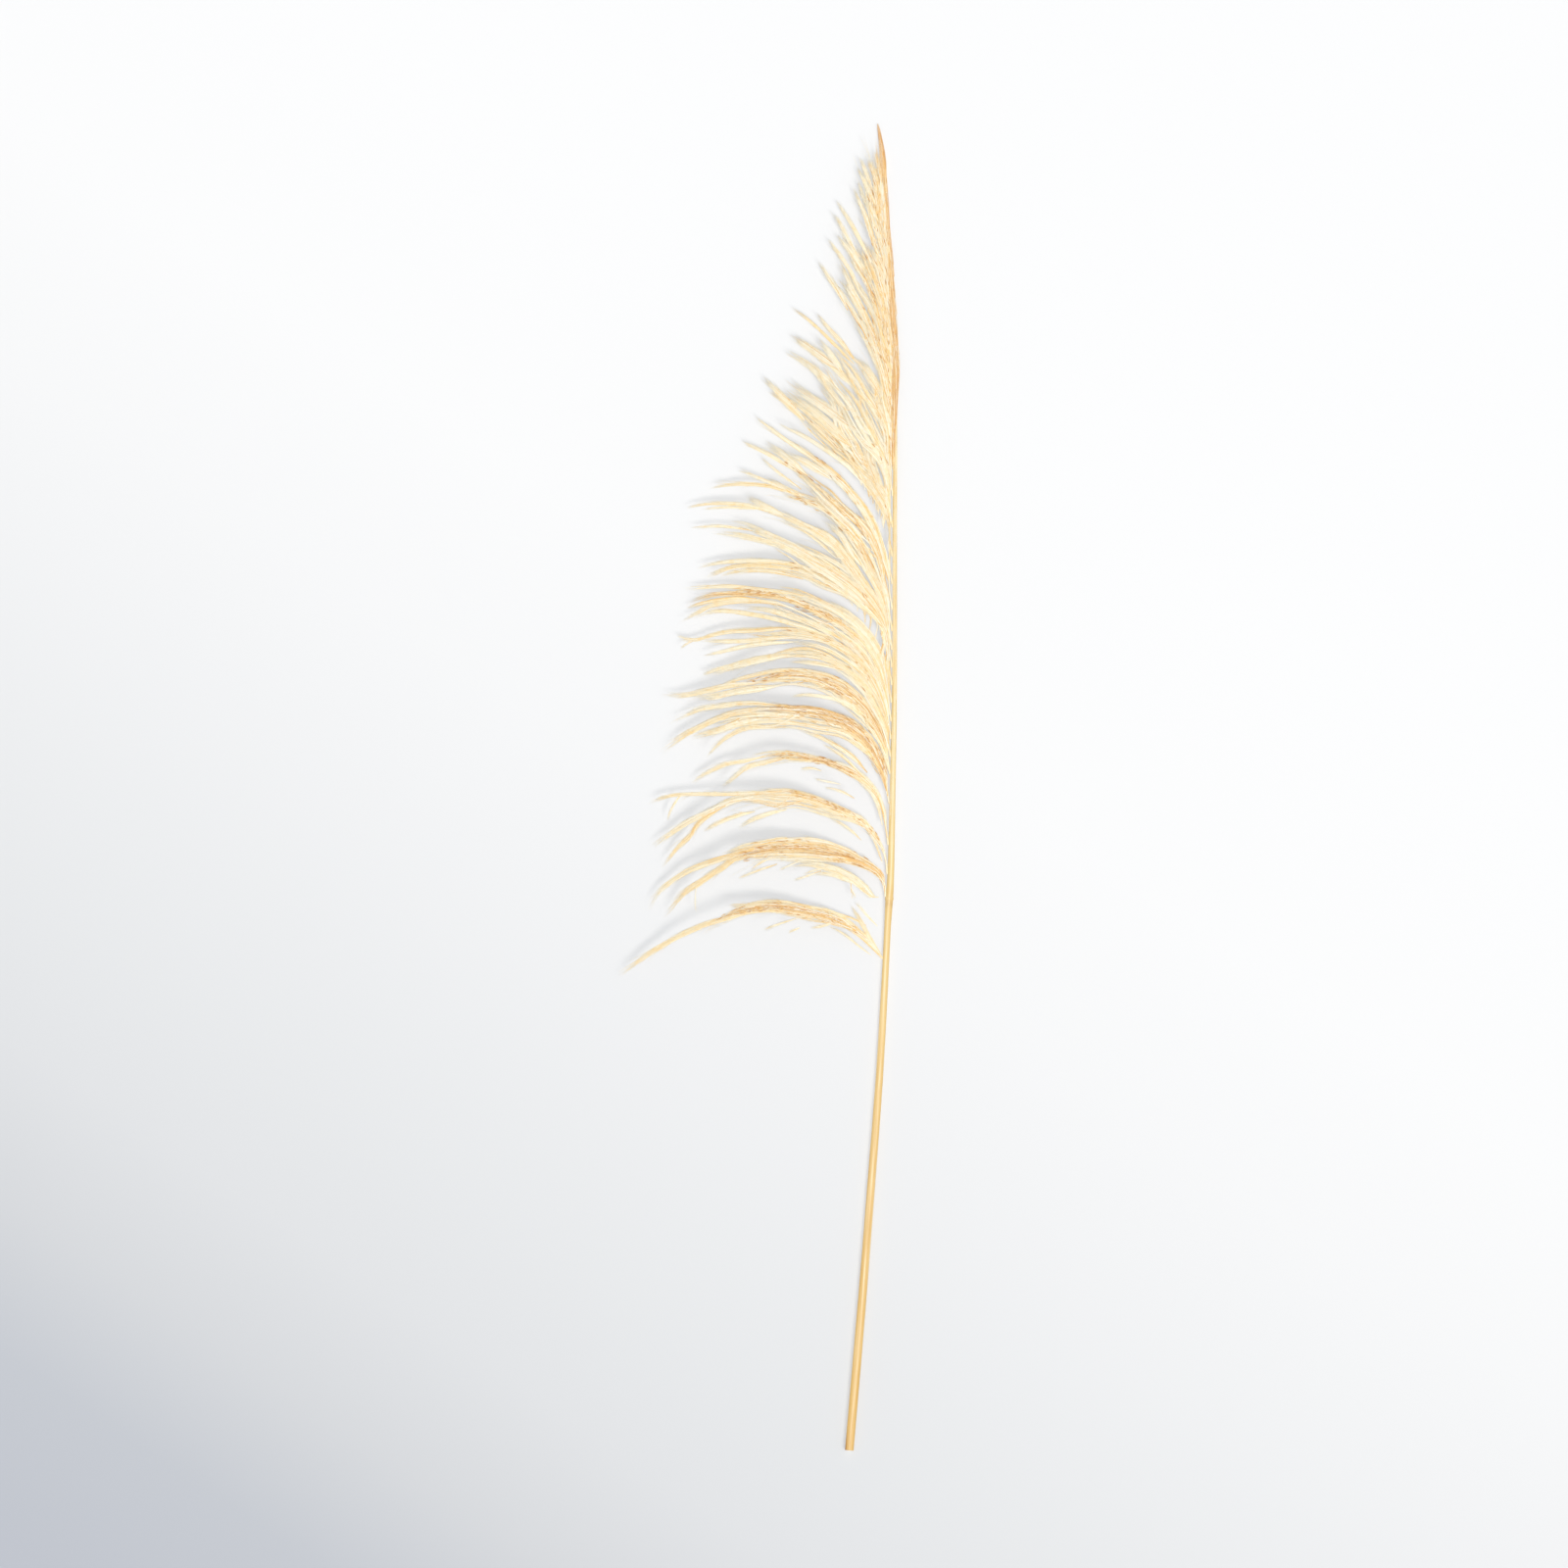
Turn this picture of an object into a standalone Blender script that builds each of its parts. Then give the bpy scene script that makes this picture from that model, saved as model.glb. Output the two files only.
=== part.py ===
"""A dried, bleached plume of a tall reed grass, cut with its cane and laid flat on a table.

The cane lies along +Y, its cut end at -Y and the plume's tip at +Y, and every spray hangs to the -X side.
Sizes are in metres unless a name or a heading says millimetres, and +Z is up from the table.
"""

import math
import random
from collections import namedtuple

import bmesh
import bpy
from mathutils import Vector

MM = 0.001
WELD = 0.01 * MM

# Cane and rachis, in millimetres: height above the cut end, distance left of the rachis line, half width
STEM_ROUTE = (
    (0, 45.4, 4.35),
    (100, 36.8, 4.3),
    (181, 30.0, 4.1),
    (280, 22.3, 3.9),
    (380, 14.7, 3.7),
    (480, 9.8, 3.4),
    (535, 7.2, 3.3),
    (563, 5.4, 3.9),
    (592, 3.6, 3.3),
    (678, 1.4, 2.9),
    (780, -0.8, 2.5),
    (937, -1.3, 2.2),
    (1080, -2.0, 2.0),
    (1180, 2.5, 1.7),
    (1237, 5.5, 1.5),
    (1290, 8.5, 1.3),
    (1315, 9.5, 1.8),
    (1335, 12.5, 1.5),
    (1354, 16.0, 0.5),
)
STEM_SIDES = 10
STEM_STEPS = 2
FLAT_BELOW = 0.1 * MM  # the underside that lies on the table is one flat strip
LIFT_FROM = 480 * MM  # the cane lies on the table up to here, and the rachis rises off it beyond
LIFT_TO = 1354 * MM
LIFT = 8 * MM
SHARP_FROM = math.radians(50)

# Sprays
LEAN = 0.45  # each spray leans like a roof shingle, and drops this much for each step to its outer side
STAGGER = 0.8 * MM  # fibres lie in turn above and below their spray's own plane
PARTED_AT = 0.5  # the share of a fibre by which it has risen or sunk so far
FORK_STAGGER = 2.6 * MM
SEAT_GAP = 0.3 * MM
BRANCH_RADIUS = 1.0 * MM
BRANCH_SIDE = 0.85 * MM  # how far a branch's own side stands from its middle
FORK_RADIUS = 1.2 * MM
FIBRE_RADIUS = (0.7 * MM, 1.8 * MM)  # least and most
FIBRE_SHARE = 0.085  # of its band's width
TIP_RADIUS = 0.8 * MM
TIP_HEIGHT = 0.42 * MM
FLATNESS = 0.5  # a strand's height, beside that of a regular outline as wide
ARCH_BASE = 9 * MM  # a spray's highest point above the table, before its reach to the left adds to it
ARCH_SHARE = 0.085
BRANCH_STATIONS = 13
FORK_STATIONS = 7
FIBRE_STATIONS = 4
FIBRES_PER_METRE = 10  # of the branch's length
FIBRES_PER_BREADTH = 165  # and of the band's width
FIBRES_ON_FORK = 1
FIRST_INNER_ROOT = 0.06  # shares of the carrying strand's length, from its root
FIRST_OUTER_ROOT = 0.22
LAST_ROOT = 0.62
FIBRE_SPAN = (0.34, 0.46)
ROOT_JITTER = (0.1, 0.9)
ROOT_CROWDING = 1.9  # how much closer together the roots stand near the seat
LANES = (1.0, 0.5, 0.75)  # where the fibres end in turn, as shares of the outer or inner width
OPEN_OUTER_AT = 0.5  # the share of a branch by which its band has opened fully to the outer side
OPEN_INNER_AT = 0.4
SLIMMING = 0.55  # how much narrower a spray is at its tip than at its root
FORK_ROOT = 0.42  # a share of the way to the fork's own tip
FORK_CURVE = 1.3  # how late a fork swings away from its branch
FORK_PARTING = 0.33  # the share of a fork over which it rises or sinks clear of its branch
FULL_ARCH_AT = 0.7  # shares of a branch's length from its seat
FALL_FROM = 0.5
LEAN_UNTIL = 0.6
SEED = 31

# Points in millimetres, as (left of the rachis line, above the cut end).
# A route runs from the seat on the rachis to the longest tip, and the forks are the other tips.
# Outer and inner are how far the fibres stand out to the arched side of the branch and to its hollow side.
# Open_at is the share of the branch by which the hollow side has that width.
Spray = namedtuple("Spray", "route outer inner forks open_at", defaults=[(), OPEN_INNER_AT])
SPRAYS = (
    Spray(
        route=[
            (11, 502), (27, 522), (52, 540), (83, 551), (122, 557), (155, 550), (187, 539), (232, 518),
            (268, 495), (290, 481),
        ],
        forks=[(176, 553), (46, 556)],
        outer=5,
        inner=15,
        open_at=0.1,
    ),
    Spray(
        route=[(6, 565), (11, 583), (31, 599), (62, 612), (107, 621), (160, 612), (212, 590), (255, 548)],
        forks=[(240, 541), (203, 555)],
        outer=8,
        inner=26,
        open_at=0.12,
    ),
    Spray(
        route=[(5, 588), (10, 610), (30, 636), (70, 660), (111, 671), (169, 662), (215, 638), (255, 610)],
        forks=[(256, 657), (239, 592), (160, 633), (196, 631)],
        outer=6,
        inner=22,
        open_at=0.25,
    ),
    Spray(
        route=[(4, 618), (9, 645), (25, 675), (61, 702), (100, 711), (140, 709), (180, 697), (215, 678)],
        forks=[(179, 673)],
        outer=4,
        inner=14,
        open_at=0.25,
    ),
    Spray(
        route=[(2, 660), (11, 690), (30, 726), (72, 751), (122, 757), (180, 745), (220, 725), (244, 712)],
        forks=[(232, 742), (193, 703)],
        outer=6,
        inner=20,
        open_at=0.3,
    ),
    Spray(
        route=[(1, 690), (10, 722), (30, 757), (65, 783), (112, 792), (160, 782), (207, 773), (250, 773)],
        outer=5,
        inner=14,
    ),
    Spray(
        route=[(1, 708), (10, 742), (29, 780), (62, 808), (105, 818), (150, 807), (195, 788)],
        outer=5,
        inner=13,
    ),
    Spray(
        route=[(1, 726), (9, 760), (26, 796), (56, 824), (95, 838), (140, 836), (185, 829), (221, 829)],
        forks=[(217, 818), (196, 812)],
        outer=6,
        inner=14,
    ),
    Spray(
        route=[(1, 744), (9, 778), (25, 815), (55, 845), (92, 863), (137, 876), (180, 872), (215, 861)],
        forks=[(219, 878), (222, 844)],
        outer=8,
        inner=15,
    ),
    Spray(
        route=[(1, 763), (8, 795), (23, 835), (52, 872), (92, 895), (142, 904), (180, 900), (205, 890)],
        forks=[(206, 901)],
        outer=8,
        inner=13,
    ),
    Spray(
        route=[(1, 781), (8, 815), (22, 855), (46, 886), (82, 911), (122, 928), (170, 941), (209, 943)],
        forks=[(167, 950), (190, 936)],
        outer=8,
        inner=11,
    ),
    Spray(
        route=[
            (1, 799), (7, 832), (20, 870), (48, 910), (80, 937), (112, 953), (152, 965), (185, 968),
            (212, 964),
        ],
        outer=8,
        inner=10,
    ),
    Spray(
        route=[(1, 817), (6, 848), (17, 885), (38, 924), (67, 953), (112, 973), (150, 984), (190, 983)],
        forks=[(159, 1000)],
        outer=9,
        inner=10,
    ),
    Spray(
        route=[(1, 836), (5, 864), (14, 898), (34, 940), (72, 977), (112, 1005), (156, 1031)],
        outer=11,
        inner=11,
    ),
    Spray(
        route=[(1, 858), (5, 888), (14, 925), (36, 966), (72, 1005), (110, 1032), (147, 1060)],
        outer=10,
        inner=10,
    ),
    Spray(
        route=[(1, 884), (5, 914), (15, 954), (42, 997), (83, 1040), (134, 1095)],
        forks=[(129, 1080)],
        outer=11,
        inner=11,
    ),
    Spray(
        route=[(0, 912), (4, 944), (14, 985), (38, 1030), (74, 1075), (114, 1122)],
        outer=10,
        inner=10,
    ),
    Spray(
        route=[(0, 942), (3, 972), (11, 1010), (30, 1050), (66, 1094), (106, 1140)],
        forks=[(112, 1131)],
        outer=9,
        inner=9,
    ),
    Spray(
        route=[(0, 974), (4, 1008), (15, 1052), (35, 1096), (66, 1132), (104, 1167)],
        forks=[(79, 1163)],
        outer=9,
        inner=9,
    ),
    Spray(
        route=[(-1, 1010), (3, 1050), (12, 1088), (26, 1125), (47, 1164), (76, 1213)],
        outer=6,
        inner=8,
    ),
    Spray(
        route=[(-1, 1042), (4, 1080), (15, 1128), (33, 1173), (53, 1210), (70, 1238)],
        outer=6,
        inner=5,
    ),
    Spray(
        route=[(-1, 1080), (3, 1118), (12, 1158), (27, 1192), (44, 1222), (60, 1264)],
        forks=[(58, 1241)],
        outer=5,
        inner=5,
    ),
    Spray(
        route=[(0, 1119), (4, 1152), (12, 1186), (22, 1216), (38, 1246), (58, 1275)],
        outer=4,
        inner=5,
    ),
    Spray(
        route=[(2, 1160), (7, 1192), (15, 1226), (27, 1259), (40, 1288)],
        outer=3,
        inner=4,
    ),
    Spray(
        route=[(5, 1200), (10, 1228), (17, 1260), (25, 1290), (32, 1319)],
        forks=[(37, 1298)],
        outer=4,
        inner=4,
    ),
    Spray(
        route=[(8, 1240), (12, 1266), (15, 1290), (18, 1312), (20, 1330)],
        outer=3,
        inner=3,
    ),
)

STRAW = (0.89, 0.70, 0.36, 1.0)
STRAW_ROUGHNESS = 0.55
CREAM = (0.94, 0.84, 0.58, 1.0)
CREAM_ROUGHNESS = 0.75


def between(before, start, end, after, share):
    """A point on the Catmull-Rom curve from start to end."""
    square = share * share
    cube = square * share
    return 0.5 * (
        2 * start
        + (end - before) * share
        + (2 * before - 5 * start + 4 * end - after) * square
        + (3 * start - 3 * end + after - before) * cube
    )


def smooth(points, steps):
    """A smooth line through the points, with this many steps from each to the next."""
    points = [Vector(point) for point in points]
    ends = [2 * points[0] - points[1]] + points + [2 * points[-1] - points[-2]]
    line = [points[0]]
    for index in range(len(points) - 1):
        for step in range(1, steps + 1):
            line.append(between(*ends[index : index + 4], step / steps))
    return line


class Path:
    """A smooth line through hand-set points, read by the share of its length that lies behind."""

    STEPS = 10
    HEADING_SPAN = 0.02  # half the share of the length over which a heading is read
    SEARCHED = 101

    def __init__(self, points):
        self.points = smooth(points, self.STEPS)
        self.travelled = [0.0]
        for before, after in zip(self.points, self.points[1:]):
            self.travelled.append(self.travelled[-1] + (after - before).length)
        self.length = self.travelled[-1]

    def at(self, share):
        target = share * self.length
        index = 1
        while index < len(self.points) - 1 and self.travelled[index] < target:
            index += 1
        span = self.travelled[index] - self.travelled[index - 1]
        return self.points[index - 1].lerp(self.points[index], (target - self.travelled[index - 1]) / span)

    def heading(self, share):
        ahead = self.at(min(1.0, share + self.HEADING_SPAN))
        behind = self.at(max(0.0, share - self.HEADING_SPAN))
        return (ahead - behind).normalized()

    def nearest(self, point):
        """The share of the line's length where it passes closest to a point."""
        shares = [step / (self.SEARCHED - 1) for step in range(self.SEARCHED)]
        return min(shares, key=lambda share: (self.at(share) - point).length)


def ease(share):
    share = min(1.0, max(0.0, share))
    return share * share * (3 - 2 * share)


def lift(height):
    """How far the rachis stands off the table, at a height above the cut end."""
    share = (height - LIFT_FROM) / (LIFT_TO - LIFT_FROM)
    return LIFT * math.sin(math.pi * share) ** 2 if 0 < share < 1 else 0.0


def stem_at(height):
    """(distance left of the rachis line, half width) of the stem at a height above the cut end."""
    for lower, upper in zip(STEM_LINE, STEM_LINE[1:]):
        if height <= upper[0]:
            break
    here = lower.lerp(upper, (height - lower[0]) / (upper[0] - lower[0]))
    return here[1], here[2]


STEM_LINE = [MM * row for row in smooth(STEM_ROUTE, STEM_STEPS)]


def clear_scene():
    for item in list(bpy.data.objects):
        bpy.data.objects.remove(item, do_unlink=True)


def new_collection(name):
    made = bpy.data.collections.new(name)
    bpy.context.scene.collection.children.link(made)
    return made


def new_material(name, colour, roughness):
    made = bpy.data.materials.new(name)
    made.use_nodes = True
    shader = made.node_tree.nodes["Principled BSDF"]
    shader.inputs["Base Color"].default_value = colour
    shader.inputs["Roughness"].default_value = roughness
    shader.inputs["Metallic"].default_value = 0.0
    return made


def ring(sides, flatness=1.0):
    """An outline of radius 1 with a flat side down, for strands to be swept along their lines."""
    data = bpy.data.curves.new(f"outline_{sides}", "CURVE")
    spline = data.splines.new("POLY")
    spline.points.add(sides - 1)
    for index, point in enumerate(spline.points):
        turn = 2 * math.pi * (index + 0.5) / sides - math.pi / 2
        point.co = (math.cos(turn), flatness * math.sin(turn), 0.0, 1.0)
    spline.use_cyclic_u = True
    made = bpy.data.objects.new(data.name, data)
    guides.objects.link(made)
    made.hide_render = True
    made.display_type = "WIRE"
    return made


def strand(name, stations, outline, collection):
    """A mesh tube through (point, radius) stations, with its caps welded on."""
    data = bpy.data.curves.new(name, "CURVE")
    data.dimensions = "3D"
    data.twist_mode = "Z_UP"
    data.bevel_mode = "OBJECT"
    data.bevel_object = outline
    data.use_fill_caps = True
    spline = data.splines.new("POLY")
    spline.points.add(len(stations) - 1)
    for point, (place, radius) in zip(spline.points, stations):
        point.co = (*place, 1.0)
        point.radius = radius
    curve = bpy.data.objects.new(name, data)
    collection.objects.link(curve)
    graph = bpy.context.evaluated_depsgraph_get()
    mesh = bpy.data.meshes.new_from_object(curve.evaluated_get(graph))
    bpy.data.objects.remove(curve, do_unlink=True)
    shape = bmesh.new()
    shape.from_mesh(mesh)
    bmesh.ops.remove_doubles(shape, verts=shape.verts, dist=WELD)
    bmesh.ops.recalc_face_normals(shape, faces=shape.faces)
    bmesh.ops.triangulate(shape, faces=shape.faces)
    shape.to_mesh(mesh)
    shape.free()
    made = bpy.data.objects.new(name, mesh)
    collection.objects.link(made)
    return made


def fused(trunk, twigs):
    """The trunk with everything in the collection of twigs grown onto it, as one body."""
    union = trunk.modifiers.new("grown together", "BOOLEAN")
    union.operation = "UNION"
    union.operand_type = "COLLECTION"
    union.collection = twigs
    union.solver = "MANIFOLD"
    graph = bpy.context.evaluated_depsgraph_get()
    mesh = bpy.data.meshes.new_from_object(trunk.evaluated_get(graph))
    trunk.modifiers.clear()
    trunk.data = mesh
    for twig in list(twigs.objects):
        bpy.data.objects.remove(twig, do_unlink=True)


def build_stem(finish):
    rows = []
    for height, left, half_width in STEM_LINE:
        flat_below = half_width * math.cos(math.pi / STEM_SIDES)
        rows.append((Vector((-left, height, flat_below + lift(height))), half_width))
    stem = strand("stem", rows, ring(STEM_SIDES), plume)
    for vertex in stem.data.vertices:
        if vertex.co.z < FLAT_BELOW:
            vertex.co.z = 0.0
    stem.data.materials.append(finish)
    stem.data.shade_smooth()
    stem.data.set_sharp_from_angle(angle=SHARP_FROM)
    return stem


class Frond:
    """Where one spray lies: its plan route from the seat on the stem, its arch and its lean."""

    def __init__(self, spray):
        seat_height = spray.route[0][1] * MM
        left, half_width = stem_at(seat_height)
        self.seat_z = half_width + lift(seat_height)
        seat = (-(left + half_width + SEAT_GAP + BRANCH_SIDE), seat_height)
        self.path = Path([seat] + [(-left * MM, height * MM) for left, height in spray.route[1:]])
        self.top = ARCH_BASE + ARCH_SHARE * max(left for left, _ in spray.route) * MM
        self.outer = spray.outer * MM
        self.inner = spray.inner * MM
        self.open_at = spray.open_at
        least, most = FIBRE_RADIUS
        self.fibre_radius = min(most, max(least, FIBRE_SHARE * (self.outer + self.inner)))

    def arch(self, share):
        """Height of the branch's middle above the table."""
        rising = self.seat_z + (self.top - self.seat_z) * ease(share / FULL_ARCH_AT)
        return rising + (TIP_HEIGHT - rising) * ease((share - FALL_FROM) / (1 - FALL_FROM))

    def opened(self, share, side):
        """How much of its width the band has on its outer side, 1, or its inner side, -1."""
        return ease(share / (OPEN_OUTER_AT if side > 0 else self.open_at))

    def place(self, share, aside, level):
        """A point beside the branch, aside being positive on its outer side and level being above it."""
        middle = self.path.at(share)
        heading = self.path.heading(share)
        outward = Vector((heading.y, -heading.x))
        lean = LEAN * (1 - ease((share - LEAN_UNTIL) / (1 - LEAN_UNTIL)))
        point = middle + outward * aside
        left, half_width = stem_at(point.y)
        clear_of_stem = -(left + half_width + SEAT_GAP + BRANCH_SIDE)
        height = max(self.arch(share) - lean * aside + level, TIP_HEIGHT)
        return Vector((min(point.x, clear_of_stem), point.y, height))

    def reach(self, tip):
        """(share, aside) of a plan point."""
        share = self.path.nearest(tip)
        heading = self.path.heading(share)
        offset = tip - self.path.at(share)
        return share, offset.dot(Vector((heading.y, -heading.x)))


def down_the_middle(along):
    return along, 0.0, 0.0


def tapered(frond, track, radius, stations):
    """Stations of a strand along a track, which gives (share, aside, level) from root 0 to tip 1."""
    rows = []
    for index in range(stations):
        along = index / (stations - 1)
        rows.append((frond.place(*track(along)), radius + (TIP_RADIUS - radius) * along))
    return rows


def rooted(rows, carrier_rows, root):
    """The stations with the first one moved onto the carrying strand's own straight stretch at that share."""
    station = root * (len(carrier_rows) - 1)
    index = min(int(station), len(carrier_rows) - 2)
    seat = carrier_rows[index][0].lerp(carrier_rows[index + 1][0], station - index)
    return [(seat, rows[0][1])] + rows[1:]


def grow_fibres(draw, frond, count, carrier, carrier_rows):
    """Fibres that leave a strand at a narrow angle, to either side in turn, and then run beside it."""
    for order in range(count):
        first, reach = (FIRST_OUTER_ROOT, frond.outer) if order % 2 else (FIRST_INNER_ROOT, -frond.inner)
        later = ((order + draw.uniform(*ROOT_JITTER)) / count) ** ROOT_CROWDING
        root = first + (LAST_ROOT - first) * later
        span = draw.uniform(*FIBRE_SPAN)
        lane = reach * (1 - SLIMMING * root) * LANES[order // 2 % len(LANES)]
        level = STAGGER if order // 2 % 2 else -STAGGER

        def track(along):
            share, start, start_level = carrier(min(1.0, root + span * along))
            aside = lane * (1 - (1 - along) ** 2) * frond.opened(share, lane)
            return share, start + aside, start_level + level * min(1.0, along / PARTED_AT)

        rows = tapered(frond, track, frond.fibre_radius, FIBRE_STATIONS)
        strand("fibre", rooted(rows, carrier_rows, root), blade, twigs)


def build_spray(number, spray, finish):
    draw = random.Random(SEED + number)
    frond = Frond(spray)
    branch_rows = tapered(frond, down_the_middle, BRANCH_RADIUS, BRANCH_STATIONS)
    branch = strand(f"spray_{number:02d}", branch_rows, blade, plume)
    fibres = round(FIBRES_PER_METRE * frond.path.length + FIBRES_PER_BREADTH * (frond.outer + frond.inner))
    grow_fibres(draw, frond, fibres, down_the_middle, branch_rows)
    for order, tip in enumerate(spray.forks):
        tip_share, tip_aside = frond.reach(Vector((-tip[0] * MM, tip[1] * MM)))
        root = FORK_ROOT * tip_share
        level = -FORK_STAGGER if order % 2 else FORK_STAGGER

        def fork(along):
            share = root + (tip_share - root) * along
            return share, tip_aside * along**FORK_CURVE, level * ease(along / FORK_PARTING)

        rows = rooted(tapered(frond, fork, FORK_RADIUS, FORK_STATIONS), branch_rows, root)
        strand("fork", rows, blade, twigs)
        grow_fibres(draw, frond, FIBRES_ON_FORK, fork, rows)
    fused(branch, twigs)
    branch.data.materials.clear()
    branch.data.materials.append(finish)
    return branch


def centre(parts):
    """Moves the meshes so that the origin is under the middle of the whole plume, on the table."""
    corners = [vertex.co for part in parts for vertex in part.data.vertices]
    middle_x = (min(c.x for c in corners) + max(c.x for c in corners)) / 2
    middle_y = (min(c.y for c in corners) + max(c.y for c in corners)) / 2
    for part in parts:
        for vertex in part.data.vertices:
            vertex.co.x -= middle_x
            vertex.co.y -= middle_y


clear_scene()
plume = new_collection("reed_plume")
guides = new_collection("guides")
twigs = new_collection("twigs")
blade = ring(3, FLATNESS)
straw = new_material("straw", STRAW, STRAW_ROUGHNESS)
cream = new_material("cream_fibre", CREAM, CREAM_ROUGHNESS)

parts = [build_stem(straw)]
for number, spray in enumerate(SPRAYS, 1):
    parts.append(build_spray(number, spray, cream))
centre(parts)
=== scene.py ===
"""The looks of a dried, bleached plume of a tall reed grass that lies on a pale floor, seen from above.

Every spray of the plume is grown again as hair-fine fibres in locks, along the same routes as its solid.
The cane and rachis get a fine skin with streaks and a node, and the fibres that lie pressed to them.
"""

import math
from collections import namedtuple

import bpy
import numpy as np
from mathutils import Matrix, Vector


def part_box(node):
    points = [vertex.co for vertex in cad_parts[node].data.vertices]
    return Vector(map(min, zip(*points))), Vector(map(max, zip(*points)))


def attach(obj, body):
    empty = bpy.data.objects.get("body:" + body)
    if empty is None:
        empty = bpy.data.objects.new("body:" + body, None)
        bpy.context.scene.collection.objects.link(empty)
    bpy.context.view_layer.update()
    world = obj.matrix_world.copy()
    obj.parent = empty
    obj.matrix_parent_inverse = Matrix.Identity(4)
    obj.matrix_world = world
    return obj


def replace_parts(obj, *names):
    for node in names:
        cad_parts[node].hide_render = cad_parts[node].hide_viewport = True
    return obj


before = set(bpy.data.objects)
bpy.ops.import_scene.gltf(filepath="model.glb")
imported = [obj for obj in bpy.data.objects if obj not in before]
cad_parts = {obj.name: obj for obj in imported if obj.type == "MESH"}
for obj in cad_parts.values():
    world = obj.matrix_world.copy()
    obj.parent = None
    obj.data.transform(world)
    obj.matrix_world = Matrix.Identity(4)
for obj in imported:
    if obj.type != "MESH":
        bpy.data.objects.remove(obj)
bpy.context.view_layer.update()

MM = 0.001
TURN = 2 * math.pi
NO_LENGTH = 1e-9
UV_MAP = "OFBake"
HALF_MAP = 0.5
SEED = 41

# Cane and rachis, in millimetres: height above the cut end, distance left of the rachis line, half width
STEM_ROUTE = (
    (0, 45.4, 4.35), (100, 36.8, 4.3), (181, 30.0, 4.1), (280, 22.3, 3.9), (380, 14.7, 3.7), (480, 9.0, 3.4),
    (535, 6.3, 3.3), (563, 4.6, 3.9), (592, 2.9, 3.3), (678, 1.1, 2.9), (780, -0.8, 2.5), (937, -1.0, 2.2),
    (1080, -1.3, 2.0), (1180, 3.1, 1.7), (1237, 5.9, 1.5), (1290, 8.5, 1.3), (1315, 9.5, 1.8),
    (1335, 12.5, 1.5), (1354, 16.0, 0.5),
)
STEM_STEPS = 2
STEM_TOP = STEM_ROUTE[-1][0]
CAD_SIDES = 10  # of the stem's solid, which lies on one of its flat sides
LIFT_FROM = 480 * MM  # the cane lies on the table up to here, and the rachis rises off it beyond
LIFT_TO = STEM_TOP * MM
LIFT = 8 * MM

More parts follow.
